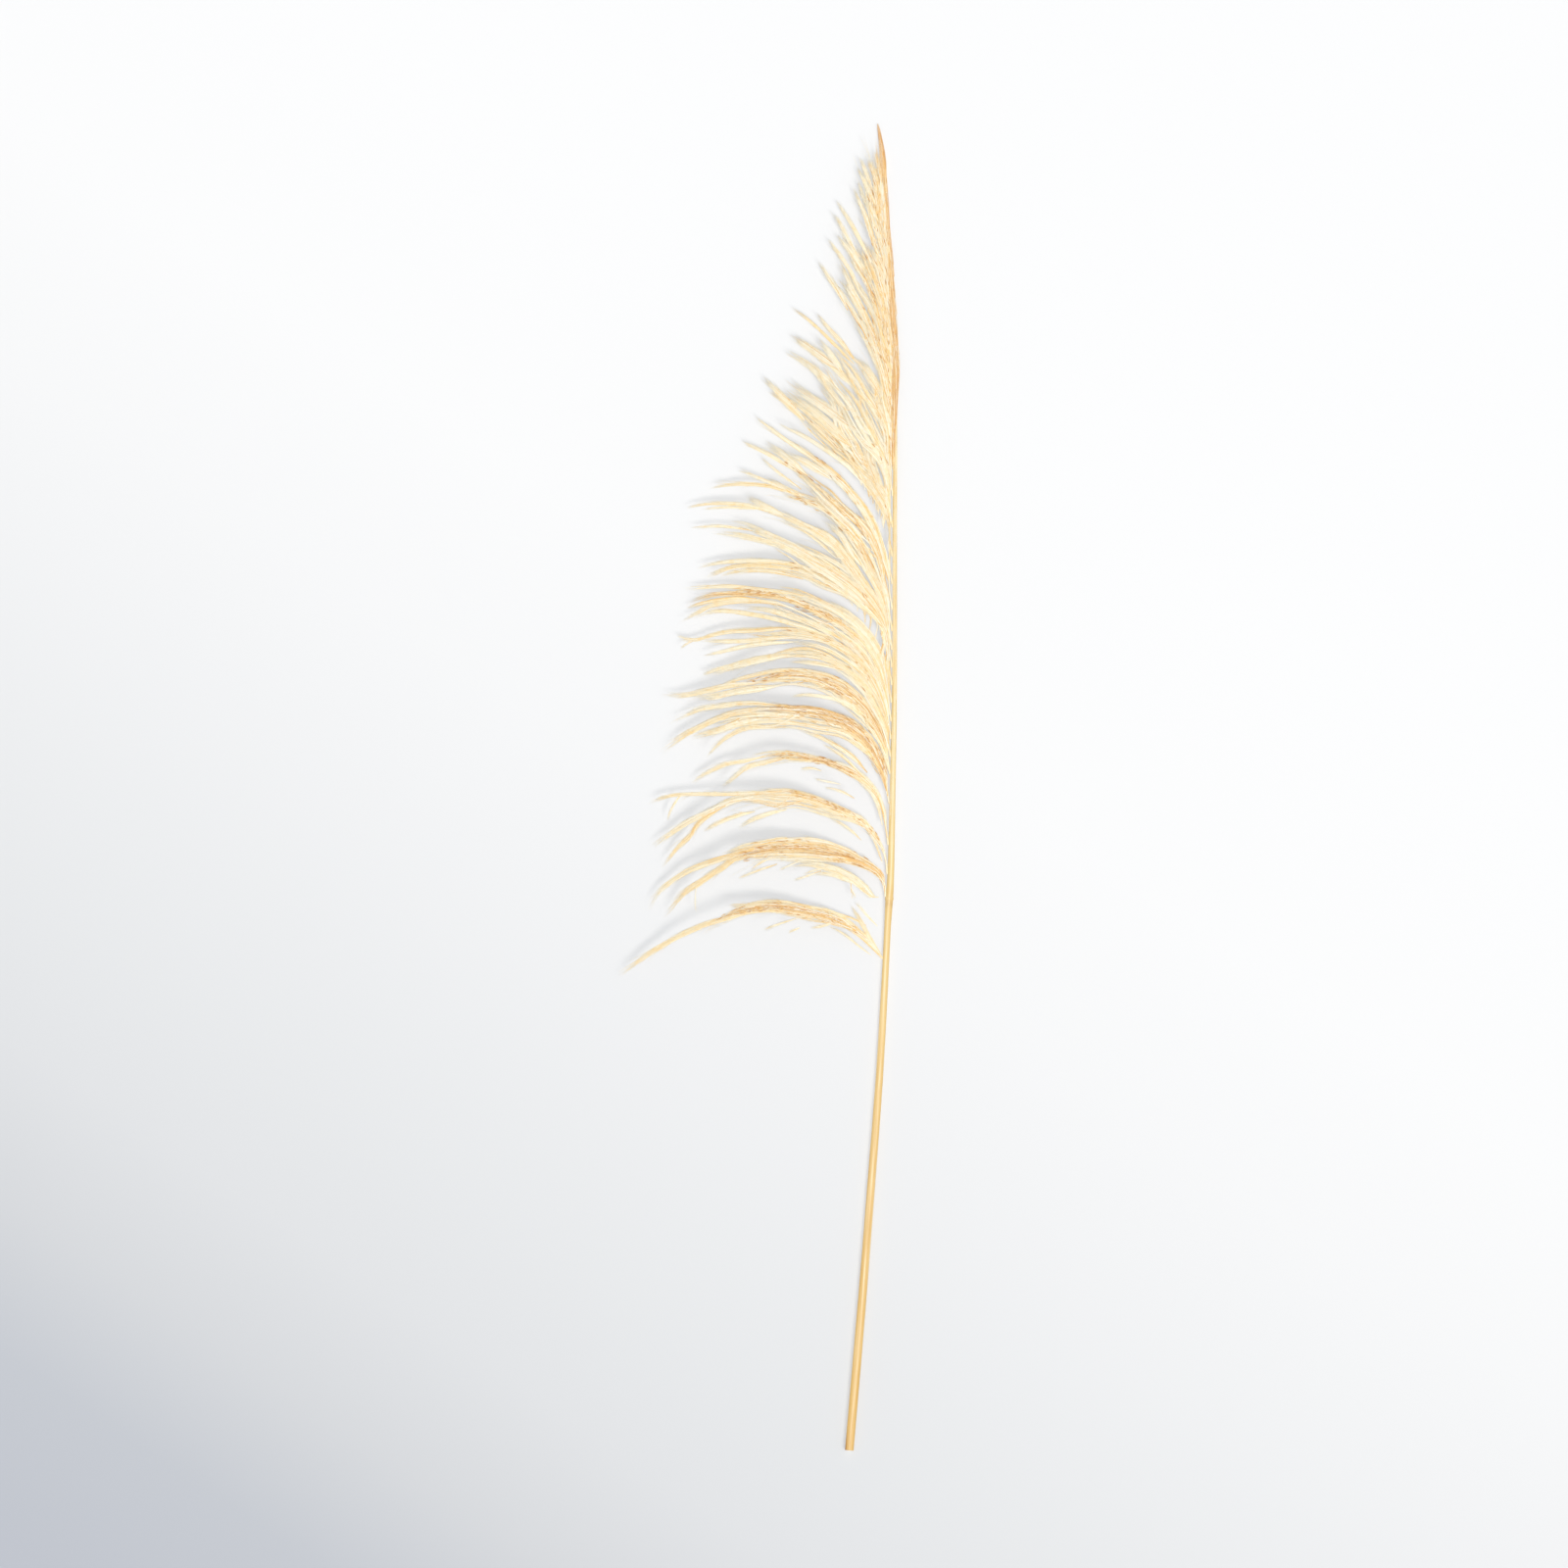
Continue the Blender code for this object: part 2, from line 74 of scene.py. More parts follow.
# Points in millimetres, as (left of the rachis line, above the cut end).
# A route runs from the seat on the rachis to the longest tip.
# Band rows are a share of the route, and how far the band reaches there to the arched and the hollow side.
# The core is golden: from and to which share, how far to the arched side, its half width and its strength.
Spray = namedtuple("Spray", "route band core")
SPRAYS = (
    ([(11, 502), (27, 522), (52, 540), (83, 551), (122, 557), (155, 550), (187, 539), (232, 518), (268, 495),
      (290, 481)],
     [(0.1, 1, 1.5), (0.2, 4.5, 7), (0.3, 3.5, 10), (0.4, 4, 9.5), (0.48, 5, 3), (0.56, 3, 0), (0.6, 1, 0)],
     (0.1, 0.6, -2, 4.2, 1.3)),
    ([(6, 565), (11, 583), (31, 599), (62, 612), (107, 621), (160, 612), (212, 590), (255, 548)],
     [(0.1, 5.5, 1), (0.2, 6.5, 6), (0.3, 9, 14), (0.4, 5, 18), (0.5, 4, 15), (0.6, 3, 12), (0.68, 1, 9),
      (0.75, 0, 3)],
     (0.12, 0.58, -4, 6, 1.1)),
    ([(5, 588), (10, 610), (30, 636), (70, 660), (111, 671), (169, 662), (215, 638), (255, 610)],
     [(0.1, 3, 0), (0.2, 6, 1), (0.3, 3.5, 10), (0.4, 2, 13), (0.5, 3, 16), (0.56, 3, 8), (0.62, 3, 2.5),
      (0.74, 1, 2)],
     (0.1, 0.45, 1, 3, 0.8)),
    ([(4, 618), (9, 645), (25, 675), (61, 702), (100, 711), (140, 709), (180, 697), (215, 678)],
     [(0.1, 2, 1), (0.2, 4.5, -1), (0.3, 7, 3), (0.4, 1, 5), (0.5, 1, 8), (0.6, 2.5, 7), (0.7, 1, 7),
      (0.76, 1, 1)],
     (0.3, 0.6, -2, 3, 0.9)),
    ([(2, 660), (11, 690), (30, 726), (72, 751), (122, 757), (180, 745), (220, 725), (244, 712)],
     [(0.1, 5, 4), (0.2, 6.5, 10.5), (0.3, 8.5, 11.5), (0.4, 5.5, 20.5), (0.5, 2.5, 18.5), (0.6, 5.5, 19.5),
      (0.7, 4.5, 10.5), (0.8, 3, 4)],
     (0.1, 0.55, 1, 6, 1.1)),
    ([(1, 690), (10, 722), (30, 757), (65, 783), (112, 792), (160, 782), (207, 773), (250, 773)],
     [(0.1, 4, 4), (0.2, 7.5, 11), (0.3, 8.5, 13), (0.4, 8.5, 10.5), (0.5, 5.5, 9.5), (0.6, 5.5, 10.5),
      (0.7, 4.5, 9.5), (0.78, 1, 3)],
     (0.15, 0.65, -1, 5, 1)),
    ([(1, 708), (10, 742), (29, 780), (62, 808), (105, 818), (150, 807), (195, 788)],
     [(0.1, 4, 3), (0.2, 4.5, 6), (0.3, 4.5, 7), (0.4, 3.5, 7.5), (0.5, 2.5, 7.5), (0.58, 1.5, 9.5),
      (0.66, -2.5, 10.5), (0.78, 2, 4)],
     (0.2, 0.5, -2, 3, 0.4)),
    ([(1, 726), (9, 760), (26, 796), (56, 824), (95, 838), (140, 836), (185, 829), (221, 829)],
     [(0.1, 2, 3), (0.2, 4.5, 7), (0.3, 5.5, 9), (0.4, 6.5, 11.5), (0.5, 6.5, 13.5), (0.6, 4.5, 13.5),
      (0.68, 2, 10.5), (0.75, 0.5, 2)],
     (0.2, 0.6, -2, 3, 0.45)),
    ([(1, 744), (9, 778), (25, 815), (55, 845), (92, 863), (137, 876), (180, 872), (215, 861)],
     [(0.1, 3.5, 3.5), (0.2, 11, 8), (0.3, 14, 10), (0.4, 14, 13.5), (0.5, 12.5, 14.5), (0.6, 13.5, 11.5),
      (0.7, 7.5, 8.5), (0.8, 4, 1)],
     (0.4, 0.8, -1, 2.5, 1)),
    ([(1, 763), (8, 795), (23, 835), (52, 872), (92, 895), (142, 904), (180, 900), (205, 890)],
     [(0.1, 6, -3.5), (0.2, 15, -12.5), (0.3, 16, -12), (0.4, 12.5, -4), (0.5, 8.5, 5.5), (0.6, 6.5, 5.5),
      (0.7, 7.5, 5.5), (0.8, 5, 4)],
     (0.35, 0.65, 5, 3, 0.6)),
    ([(1, 781), (8, 815), (22, 855), (46, 886), (82, 911), (122, 928), (170, 941), (209, 943)],
     [(0.1, 5.5, -3), (0.2, 11.5, -4), (0.3, 10.5, 8), (0.4, 9.5, 13.5), (0.5, 8.5, 15.5), (0.6, 5.5, 12.5),
      (0.7, 6.5, 5.5), (0.78, 6, 3)],
     (0.2, 0.5, 2, 3, 0.4)),
    ([(1, 799), (7, 832), (20, 870), (48, 910), (80, 937), (112, 953), (152, 965), (185, 968), (212, 964)],
     [(0.1, 3.5, -1), (0.2, 4.5, 2), (0.3, 1.5, 8), (0.4, 4.5, 7.5), (0.5, 6.5, 6.5), (0.6, 2, 4.5),
      (0.7, 4.5, 3.5), (0.76, 1, 2)],
     (0.2, 0.6, 1, 3, 0.35)),
    ([(1, 817), (6, 848), (17, 885), (38, 924), (67, 953), (112, 973), (150, 984), (190, 983)],
     [(0.1, 2, 1.5), (0.2, 3.5, 3), (0.3, 3.5, 6.5), (0.4, 8.5, 7.5), (0.5, 9.5, 4.5), (0.6, 10.5, 2),
      (0.7, 9.5, 2.5), (0.8, 8, -3)],
     (0.2, 0.7, 4, 3, 0.6)),
    ([(1, 836), (5, 864), (14, 898), (34, 940), (72, 977), (112, 1005), (156, 1031)],
     [(0.1, 1, 1), (0.2, 2.5, 5), (0.3, 9.5, 7), (0.4, 9.5, 9.5), (0.5, 5.5, 9.5), (0.6, 7.5, 9.5),
      (0.7, 6.5, 4.5), (0.8, 4, -1)],
     (0.3, 0.8, 2, 2, 0.6)),
    ([(1, 858), (5, 888), (14, 925), (36, 966), (72, 1005), (110, 1032), (147, 1060)],
     [(0.1, 4, 2), (0.2, 2.5, 5), (0.3, 4.5, 3), (0.4, 5.5, 2.5), (0.5, 4.5, 2.5), (0.6, 4.5, 3.5),
      (0.7, 1.5, 7.5), (0.8, 1, 1)],
     (0.3, 0.7, 2, 3, 0.5)),
    ([(1, 884), (5, 914), (15, 954), (42, 997), (83, 1040), (134, 1095)],
     [(0.1, 6, -4), (0.2, 10.5, -7), (0.3, 15.5, -5), (0.4, 16.5, -2.5), (0.5, 17.5, -2.5), (0.6, 18.5, 1.5),
      (0.7, 17.5, 1.5), (0.8, 13.5, 0.5), (0.9, 5, 1)],
     (0.3, 0.9, 6, 6, 0.6)),
    ([(0, 912), (4, 944), (14, 985), (38, 1030), (74, 1075), (114, 1122)],
     [(0.1, 5, -1), (0.2, 9.5, 2), (0.3, 1.5, 9), (0.4, 4.5, 13.5), (0.5, 13.5, 15.5), (0.6, 14.5, 11.5),
      (0.7, 17.5, -5.5), (0.8, 16.5, -6.5), (0.9, 12, -8)],
     (0.1, 0.4, 0, 3, 0.4)),
    ([(0, 942), (3, 972), (11, 1010), (30, 1050), (66, 1094), (106, 1140)],
     [(0.1, 4, 8), (0.2, 8.5, 3), (0.3, 9.5, 4), (0.4, 9.5, 13.5), (0.5, 12.5, 15.5), (0.6, 14.5, 9.5),
      (0.7, 14.5, 9.5), (0.78, 14.5, 3.5), (0.88, 6, 0)],
     (0.1, 0.4, 0, 3, 0.4)),
    ([(0, 974), (4, 1008), (15, 1052), (35, 1096), (66, 1132), (104, 1167)],
     [(0.1, 4, 3), (0.2, 6.5, 4), (0.3, 12.5, 0), (0.4, 15.5, 4.5), (0.5, 13.5, 10.5), (0.6, 10.5, 8.5),
      (0.68, 6.5, 6.5), (0.76, 3, 2)],
     (0.1, 0.4, 3, 3, 0.5)),
    ([(-1, 1010), (3, 1050), (12, 1088), (26, 1125), (47, 1164), (76, 1213)],
     [(0.1, 4, 4), (0.2, 6, 5), (0.3, 10, 6), (0.4, 14, 0), (0.5, 14, 1), (0.7, 14, 3), (0.84, 9, 1),
      (0.94, 4, 1)],
     (0.1, 0.4, 3, 3, 0.5)),
    ([(-1, 1042), (4, 1080), (15, 1128), (33, 1173), (53, 1210), (70, 1238)],
     [(0.1, 4, 4), (0.3, 7, 7), (0.5, 10, 10), (0.6, 9, 9), (0.7, 5, 7), (0.82, 4, 3), (0.92, 2, 1)],
     (0, 0.6, 0, 5, 0.75)),
    ([(-1, 1080), (3, 1118), (12, 1158), (27, 1192), (44, 1222), (60, 1264)],
     [(0.1, 4, 4), (0.3, 8, 8), (0.5, 13, 4), (0.6, 14, 2), (0.7, 12, 2), (0.84, 9, 2), (0.95, 6, 1)],
     (0, 0.6, 0, 5, 0.75)),
    ([(0, 1119), (4, 1152), (12, 1186), (22, 1216), (38, 1246), (58, 1275)],
     [(0.1, 4, 4), (0.3, 5, 6), (0.5, 8, 9), (0.62, 5, 8), (0.72, 2, 2)],
     (0, 0.6, 0, 5, 0.75)),
    ([(2, 1160), (7, 1192), (15, 1226), (27, 1259), (40, 1288)],
     [(0.1, 4, 4), (0.4, 7, 6), (0.6, 10, 5), (0.8, 12, 2), (0.92, 9, 1)],
     (0, 0.6, 0, 5, 0.8)),
    ([(5, 1200), (10, 1228), (17, 1260), (25, 1290), (32, 1319)],
     [(0.1, 4, 4), (0.4, 8, 7), (0.6, 10, 7), (0.8, 11, 5), (0.95, 8, 4)],
     (0, 0.7, 0, 4, 0.85)),
    ([(8, 1240), (12, 1266), (15, 1290), (18, 1312), (20, 1330)],
     [(0.2, 4, 4), (0.5, 5, 6), (0.8, 6, 5), (0.92, 4, 4)],
     (0, 0.7, 0, 2, 0.7)),
)

# Tips and single strands: thin bundles that stand out of their spray, each drawn to a point at its end.
# A row is the spray's number, the greatest width in millimetres, the tone, and points as in a route.
STRANDS = (
    (1, 5.5, 0.48, (112, 552), (137, 552), (155, 550), (172, 544), (187, 540), (209, 531), (222, 525),
     (244, 512), (268, 496), (290, 481)),
    (1, 4.7, 0.55, (106, 556), (127, 559), (147, 557), (162, 557), (174, 556)),
    (1, 3.4, 0.5, (11, 502), (21, 514), (32, 524), (46, 534), (62, 541)),
    (1, 1.9, 0.35, (23, 506), (34, 514), (46, 524), (56, 531), (67, 536)),
    (1, 4.4, 0.4, (13, 508), (21, 519), (27, 529), (32, 539), (38, 549), (45, 559)),
    (1, 1.9, 0.25, (16, 535), (25, 544), (33, 553), (40, 561)),
    (1, 2.2, 0.3, (28, 536), (44, 544), (60, 549), (74, 552)),
    (1, 2.9, 0.4, (58, 541), (71, 536), (86, 534)),
    (1, 2.1, 0.3, (97, 544), (110, 540), (122, 536), (134, 531)),
    (1, 2.6, 0.3, (96, 534), (108, 529)),
    (2, 5.7, 0.38, (142, 615), (167, 608), (192, 600), (210, 593), (226, 583), (240, 572), (248, 562),
     (255, 548)),
    (2, 6.2, 0.5, (137, 608), (160, 607), (173, 598), (187, 589), (200, 580), (212, 572), (222, 563),
     (230, 553), (240, 543)),
    (2, 1.1, 0.15, (201, 577), (203, 563), (202, 548)),
    (2, 2.2, 0.15, (119, 599), (139, 592), (160, 584)),
    (2, 9.1, 0.25, (13, 548), (19, 562), (28, 574), (38, 584), (52, 592), (70, 598), (92, 601), (114, 599)),
    (2, 4.4, 0.3, (26, 572), (39, 580), (54, 586), (70, 590), (86, 589)),
    (2, 2.2, 0.15, (74, 592), (90, 586), (104, 582)),
    (2, 1.1, 0.15, (44, 582), (43, 568), (42, 558)),
    (2, 2, 0.2, (92, 603), (106, 598), (118, 592)),
    (2, 1.8, 0.2, (122, 606), (136, 600), (147, 592)),
    (2, 2.2, 0.25, (60, 596), (76, 594), (93, 588)),
    (3, 6, 0.3, (144, 668), (167, 663), (184, 655), (200, 648), (212, 642), (227, 632), (240, 623),
     (256, 609)),
    (3, 4.7, 0.45, (172, 659), (192, 648), (203, 638), (208, 628), (219, 619), (227, 609), (234, 600),
     (240, 591)),
    (3, 4.4, 0.28, (142, 653), (160, 649), (176, 643), (190, 636), (197, 631)),
    (3, 4.2, 0.3, (109, 655), (127, 651), (142, 646), (152, 641), (161, 635)),
    (3, 4.4, 0.32, (112, 674), (144, 672), (167, 671), (187, 671), (207, 671), (222, 670), (234, 668),
     (244, 664), (256, 659)),
    (3, 2.2, 0.2, (217, 670), (224, 661), (229, 652), (232, 643)),
    (3, 2.2, 0.25, (33, 623), (44, 634), (55, 641), (68, 647)),
    (3, 2.6, 0.3, (11, 600), (15, 612), (20, 624), (28, 634)),
    (4, 4.4, 0.38, (130, 710), (155, 704), (167, 703), (182, 697), (197, 689), (209, 680)),
    (4, 4.9, 0.3, (112, 707), (134, 703), (150, 699), (160, 691), (170, 683), (179, 674)),
    (4, 2.6, 0.3, (11, 638), (14, 653), (19, 667), (28, 677), (39, 685)),
    (4, 2.1, 0.2, (54, 680), (67, 683), (81, 686)),
    (4, 2.3, 0.2, (74, 694), (84, 697), (96, 696)),
    (4, 2.3, 0.2, (40, 666), (56, 674), (72, 677)),
    (5, 6.2, 0.5, (127, 759), (152, 756), (172, 751), (190, 744), (204, 737), (217, 730), (232, 720),
     (244, 711)),
    (5, 6.2, 0.28, (137, 748), (162, 743), (177, 737), (192, 733), (207, 729), (215, 727)),
    (5, 5, 0.3, (112, 761), (142, 764), (162, 763), (177, 761), (197, 758), (212, 752), (222, 747),
     (233, 741)),
    (5, 4.1, 0.38, (107, 739), (132, 739), (147, 739), (160, 735), (172, 728), (182, 719), (193, 706)),
    (5, 3.7, 0.5, (156, 748), (170, 741), (182, 735), (189, 730)),
    (5, 4.7, 0.4, (26, 692), (39, 707), (54, 718), (67, 725), (82, 732), (100, 737)),
    (5, 2.8, 0.35, (28, 685), (43, 701), (57, 713), (74, 722)),
    (5, 4.5, 0.45, (90, 750), (105, 751), (120, 752), (140, 753), (158, 751), (172, 748)),
    (5, 4.5, 0.3, (80, 741), (96, 743), (112, 745), (132, 745), (150, 743), (170, 738), (188, 733)),
    (6, 5.9, 0.42, (142, 785), (167, 782), (190, 777), (207, 773), (222, 771), (241, 772)),
    (6, 7.2, 0.25, (117, 782), (142, 779), (162, 776), (180, 772), (198, 770), (212, 770)),
    (6, 2.6, 0.2, (167, 772), (180, 769), (191, 766)),
    (6, 3.7, 0.25, (22, 744), (39, 759), (57, 767), (77, 771), (97, 772), (107, 769)),
    (7, 7.2, 0.3, (106, 814), (132, 810), (150, 806), (167, 801), (182, 796), (196, 789)),
    (7, 3.2, 0.3, (158, 804), (174, 800), (187, 795), (196, 792)),
    (7, 4.3, 0.28, (49, 796), (67, 802), (87, 805), (109, 806)),
    (7, 3.1, 0.55, (50, 802), (66, 812), (82, 818), (97, 819), (112, 816), (129, 811)),
    (8, 4.7, 0.45, (100, 840), (122, 840), (142, 838), (167, 837), (187, 833), (200, 828), (212, 828),
     (222, 830)),
    (8, 4.7, 0.4, (100, 831), (122, 830), (147, 827), (172, 827), (200, 827)),
    (8, 4.1, 0.28, (97, 826), (122, 825), (144, 823), (167, 818), (184, 814), (198, 811)),
    (8, 2, 0.35, (196, 829), (205, 828), (213, 829), (222, 832)),
    (8, 2.3, 0.3, (204, 827), (211, 824), (218, 819)),
    (9, 4.7, 0.35, (92, 873), (112, 877), (142, 880), (167, 883), (192, 882), (220, 880)),
    (9, 5.3, 0.7, (72, 852), (86, 861), (102, 868), (122, 873), (142, 875), (167, 876), (187, 874),
     (202, 869), (216, 862)),
    (9, 4.7, 0.4, (100, 860), (122, 866), (142, 868), (167, 867), (187, 863), (200, 856), (212, 850),
     (222, 843)),
    (9, 5, 0.4, (67, 832), (84, 839), (102, 844), (122, 850), (142, 854), (172, 858), (192, 856), (210, 848)),
    (9, 7, 0.3, (52, 829), (66, 837), (82, 845), (102, 852), (122, 858), (142, 861), (160, 862)),
    (9, 4, 0.5, (140, 870), (160, 871), (178, 869), (194, 866), (205, 862), (214, 859)),
    (10, 4.7, 0.28, (87, 903), (112, 907), (142, 909), (167, 908), (187, 905), (205, 899)),
    (10, 4.7, 0.5, (97, 899), (122, 903), (147, 904), (167, 902), (182, 896), (196, 890)),
    (10, 4, 0.35, (92, 890), (112, 896), (132, 899), (150, 899), (167, 897), (180, 892)),
    (10, 6.2, 0.6, (19, 852), (32, 868), (50, 881), (67, 890), (87, 897), (109, 897)),
    (11, 7.8, 0.22, (74, 908), (92, 919), (114, 930), (132, 938), (150, 946), (172, 950)),
    (11, 2.5, 0.2, (144, 939), (167, 943), (187, 944), (209, 942)),
    (11, 6.2, 0.28, (74, 899), (92, 912), (114, 924), (137, 931), (160, 936), (177, 938), (193, 939)),
    (12, 3.5, 0.45, (117, 956), (137, 962), (152, 966), (167, 967), (187, 967), (202, 965), (213, 962)),
    (12, 2.5, 0.25, (127, 961), (152, 962), (174, 963), (196, 961)),
    (12, 6.8, 0.22, (112, 956), (130, 964), (142, 970), (153, 976)),
    (13, 4.1, 0.5, (97, 975), (115, 982), (132, 986), (152, 987), (172, 986), (191, 983)),
    (13, 3.1, 0.22, (109, 981), (127, 989), (142, 995), (160, 1001)),
    (13, 5.6, 0.25, (90, 975), (107, 981), (122, 989), (136, 994)),
    (13, 6.5, 0.25, (33, 904), (42, 917), (51, 933), (61, 943), (76, 951)),
    (14, 4.1, 0.42, (97, 999), (112, 1008), (127, 1017), (142, 1025), (157, 1032)),
    (14, 2.4, 0.2, (94, 981), (112, 994), (124, 1004), (137, 1015)),
    (14, 7.8, 0.2, (87, 996), (102, 1009), (115, 1020), (127, 1027), (135, 1033)),
    (15, 3.7, 0.35, (77, 1009), (94, 1021), (112, 1034), (127, 1045), (143, 1058)),
    (15, 4.1, 0.5, (32, 968), (50, 989), (70, 1005), (92, 1022), (112, 1036)),
    (16, 6.2, 0.3, (97, 1063), (112, 1076), (124, 1088), (136, 1099)),
    (15, 7.2, 0.25, (62, 992), (78, 1003), (96, 1013), (117, 1021)),
    (16, 6.2, 0.45, (90, 1052), (106, 1068), (119, 1078), (130, 1084)),
    (16, 3.7, 0.3, (32, 988), (44, 1002), (57, 1013), (72, 1024), (92, 1036), (119, 1049)),
    (17, 10.4, 0.2, (30, 1038), (50, 1052), (67, 1065), (84, 1077), (100, 1088), (113, 1098)),
    (17, 12, 0.28, (40, 1026), (58, 1041), (74, 1056), (88, 1067), (104, 1078), (116, 1086)),
    (17, 7.8, 0.25, (52, 1080), (67, 1094), (82, 1106), (97, 1116), (113, 1124)),
    (18, 8.5, 0.22, (50, 1102), (67, 1114), (82, 1125), (94, 1133), (108, 1142)),
    (18, 6, 0.3, (42, 1087), (54, 1100), (68, 1112), (80, 1121)),
    (18, 3.9, 0.5, (62, 1111), (76, 1120), (90, 1128), (100, 1135)),
    (19, 3.1, 0.55, (40, 1109), (52, 1121), (62, 1131), (74, 1143), (87, 1154), (105, 1168)),
    (19, 4.5, 0.22, (40, 1115), (53, 1132), (65, 1145), (74, 1156), (80, 1163)),
    (19, 6, 0.2, (50, 1098), (58, 1112), (66, 1123), (74, 1133), (79, 1138)),
    (19, 7, 0.35, (10, 1078), (17, 1090), (27, 1105), (38, 1118)),
    (20, 4.2, 0.35, (46, 1164), (55, 1182), (64, 1196), (70, 1205), (77, 1215)),
    (21, 6.5, 0.22, (32, 1162), (40, 1178), (48, 1190), (54, 1197)),
    (21, 4.2, 0.35, (34, 1184), (41, 1200), (49, 1213), (58, 1226), (69, 1239)),
    (22, 4.2, 0.25, (34, 1218), (44, 1234), (52, 1249), (61, 1264)),
    (22, 4.2, 0.25, (32, 1205), (42, 1222), (50, 1232), (58, 1242)),
    (23, 3.4, 0.42, (22, 1212), (32, 1232), (41, 1249), (50, 1264), (59, 1277)),
    (24, 3.4, 0.22, (20, 1242), (27, 1258), (34, 1274), (41, 1290)),
    (24, 3.4, 0.25, (19, 1254), (26, 1270), (32, 1284), (36, 1296)),
    (25, 3.9, 0.25, (20, 1285), (26, 1300), (30, 1310), (34, 1321)),
    (25, 4.4, 0.3, (18, 1272), (26, 1289), (32, 1302), (37, 1311)),
    (26, 3.1, 0.65, (11, 1298), (15, 1311), (19, 1327)),
    (26, 3.9, 0.6, (12, 1285), (18, 1300), (26, 1318)),
)

# Golden fibres pressed together on the upper rachis, in millimetres: height, distance of their right edge
# left of the rachis line, and width of the bundle
BUNDLE = (
    (1000, -0.6, 3), (1040, -2.4, 5), (1080, -4.8, 9), (1105, -6, 10), (1150, -3.8, 12), (1180, -2.2, 13),
    (1220, 0.8, 12), (1250, 4.2, 12), (1280, 5.3, 12), (1300, 7, 10), (1315, 8.5, 5), (1335, 11.5, 3),
    (1354, 15.5, 1),
)

# Sprays, in the solids' own lean and arch, with shares of the route from its seat
LEAN = 0.45
LEAN_UNTIL = 0.6
LEAN_REACH = 14 * MM  # how far aside the lean still lifts or lowers a fibre more and more
TIP_HEIGHT = 9 * MM
ARCH_BASE = 9 * MM
ARCH_SHARE = 0.085  # of the spray's reach to the left, which adds to its arch
FULL_ARCH_AT = 0.7
FALL_FROM = 0.5
BAND_AT_SEAT = (1.0, 1.5)
CORE_FADE = 0.12
STEM_SOFTNESS = 0.5 * MM  # how gently the fibres are pressed aside by the stem
SLIT = 3.0 * MM  # how far off it they stay once they have left it
SLIT_FULL_AT = 0.07
SLIT_FADE = (1060 * MM, 960 * MM)  # there is none of it above the first height, and all below the second

# Tones along the colour ramp, from the palest cream to rust
PALE, CREAM, HONEY, GOLD, RUST = 0.05, 0.25, 0.5, 0.72, 0.95

# The branch of a spray
BRANCH_RADIUS = 1.1 * MM
BRANCH_STATIONS = 36
BRANCH_SIDES = 5
BRANCH_TAPER = 0.8
BRANCH_SWING = 0.25 * MM
BRANCH_WAVES = (18, 30)
BRANCH_FREE_AT = 1 / 3  # the share of it by which it has left the rachis

# Locks: slim bundles of fibres that leave the branch and run beside it
LOCKS_AT_LEAST = 7
LOCKS_PER_MM = 1.15  # of the band's width
CLUMPING = 0.16  # how far a lock strays from its even place, in band widths
CORE_LOCKS = 5
CORE_TONE = 0.86
LOCK_RADIUS = 0.8 * MM
LOCK_LEVEL = 0.9 * MM
LOCK_SPAN = (0.3, 0.5)
LAST_ROOT = 0.62
ROOT_CROWDING = 1.7
LEAVING = 0.18  # the share of a lock's length over which it moves out to its own lane
STEEPEST = 0.4  # how far aside it moves in that stretch at most, for each step along
LAST_END = (0.8, 1.0)  # where the locks end at the latest, as shares of the way to the band's end
WANDER = 0.5 * MM
WAVES = (1.0, 2.6)
DROOP = 2.0 * MM  # to the hollow side, and the other way by a share of it on the arched side
ARCHED_DROOP = -0.3
LOCK_PROFILE = ((0.0, 0.25, 0.7, 1.0), (0.35, 1.0, 0.8, 0.3))
PALE_LOCKS = 0.55
GOLDEN_LOCKS = 0.13
ROOT_GOLD = 0.26  # how much deeper the fibres' tone is at the seat, and up to which share of the route
ROOT_GOLD_UNTIL = 0.5

# Fibres of the locks and strands
FINEST = 0.05 * MM
FIBRE_STATIONS = 4
FIBRES_PER_MM = 0.48  # of a lock's length
LEAST_FIBRES = 6
THINNING = 0.55  # how many of them a lock at the hollow edge goes without
OVERSHOOT = 0.12  # how much of its last fibres stands past a lock's end
LEAST_START = 0.03
FIBRE_LENGTH = (18 * MM, 55 * MM)
FIBRE_RADIUS = 0.2 * MM
THICKNESS = (0.7, 1.2)
FIBRE_TAPER = 0.6
FIBRE_DRIFT = 0.7 * MM
FANNING = 1.6  # how late a fibre drifts off
LOOSE_SHARE = 0.18  # of the fibres, which drift further off
LOOSE_DRIFT = 3.2
GOLD_VARIES = (0.6, 1.4)
TONE_VARIES = 0.09

# Streaks: single strands of each lock or bundle
LEADS = 2  # for each lock
LEAD_RADIUS = (0.22, 0.55)  # in millimetres
LEAD_TAPER = 0.7
LEAD_GOLDEN = 0.5  # the share of them that are golden, where the others are pale
LEAD_TONES = ((0.5, 0.85), (0.0, 0.25))
LEAD_ASIDE = 1.2 * MM
LEAD_LEVEL = (0.4, 2.0)  # in millimetres above the lock
LEAD_FREE_AT = 1 / 4  # the share of it by which it has left the lock's middle
STREAK_SPACING = 1.1  # millimetres of a bundle's width for each of its streaks
STREAKS_ASIDE = (-0.8, 0.8)  # and how far aside and above they lie, in halves of its width
STREAKS_LEVEL = (0.3, 1.0)

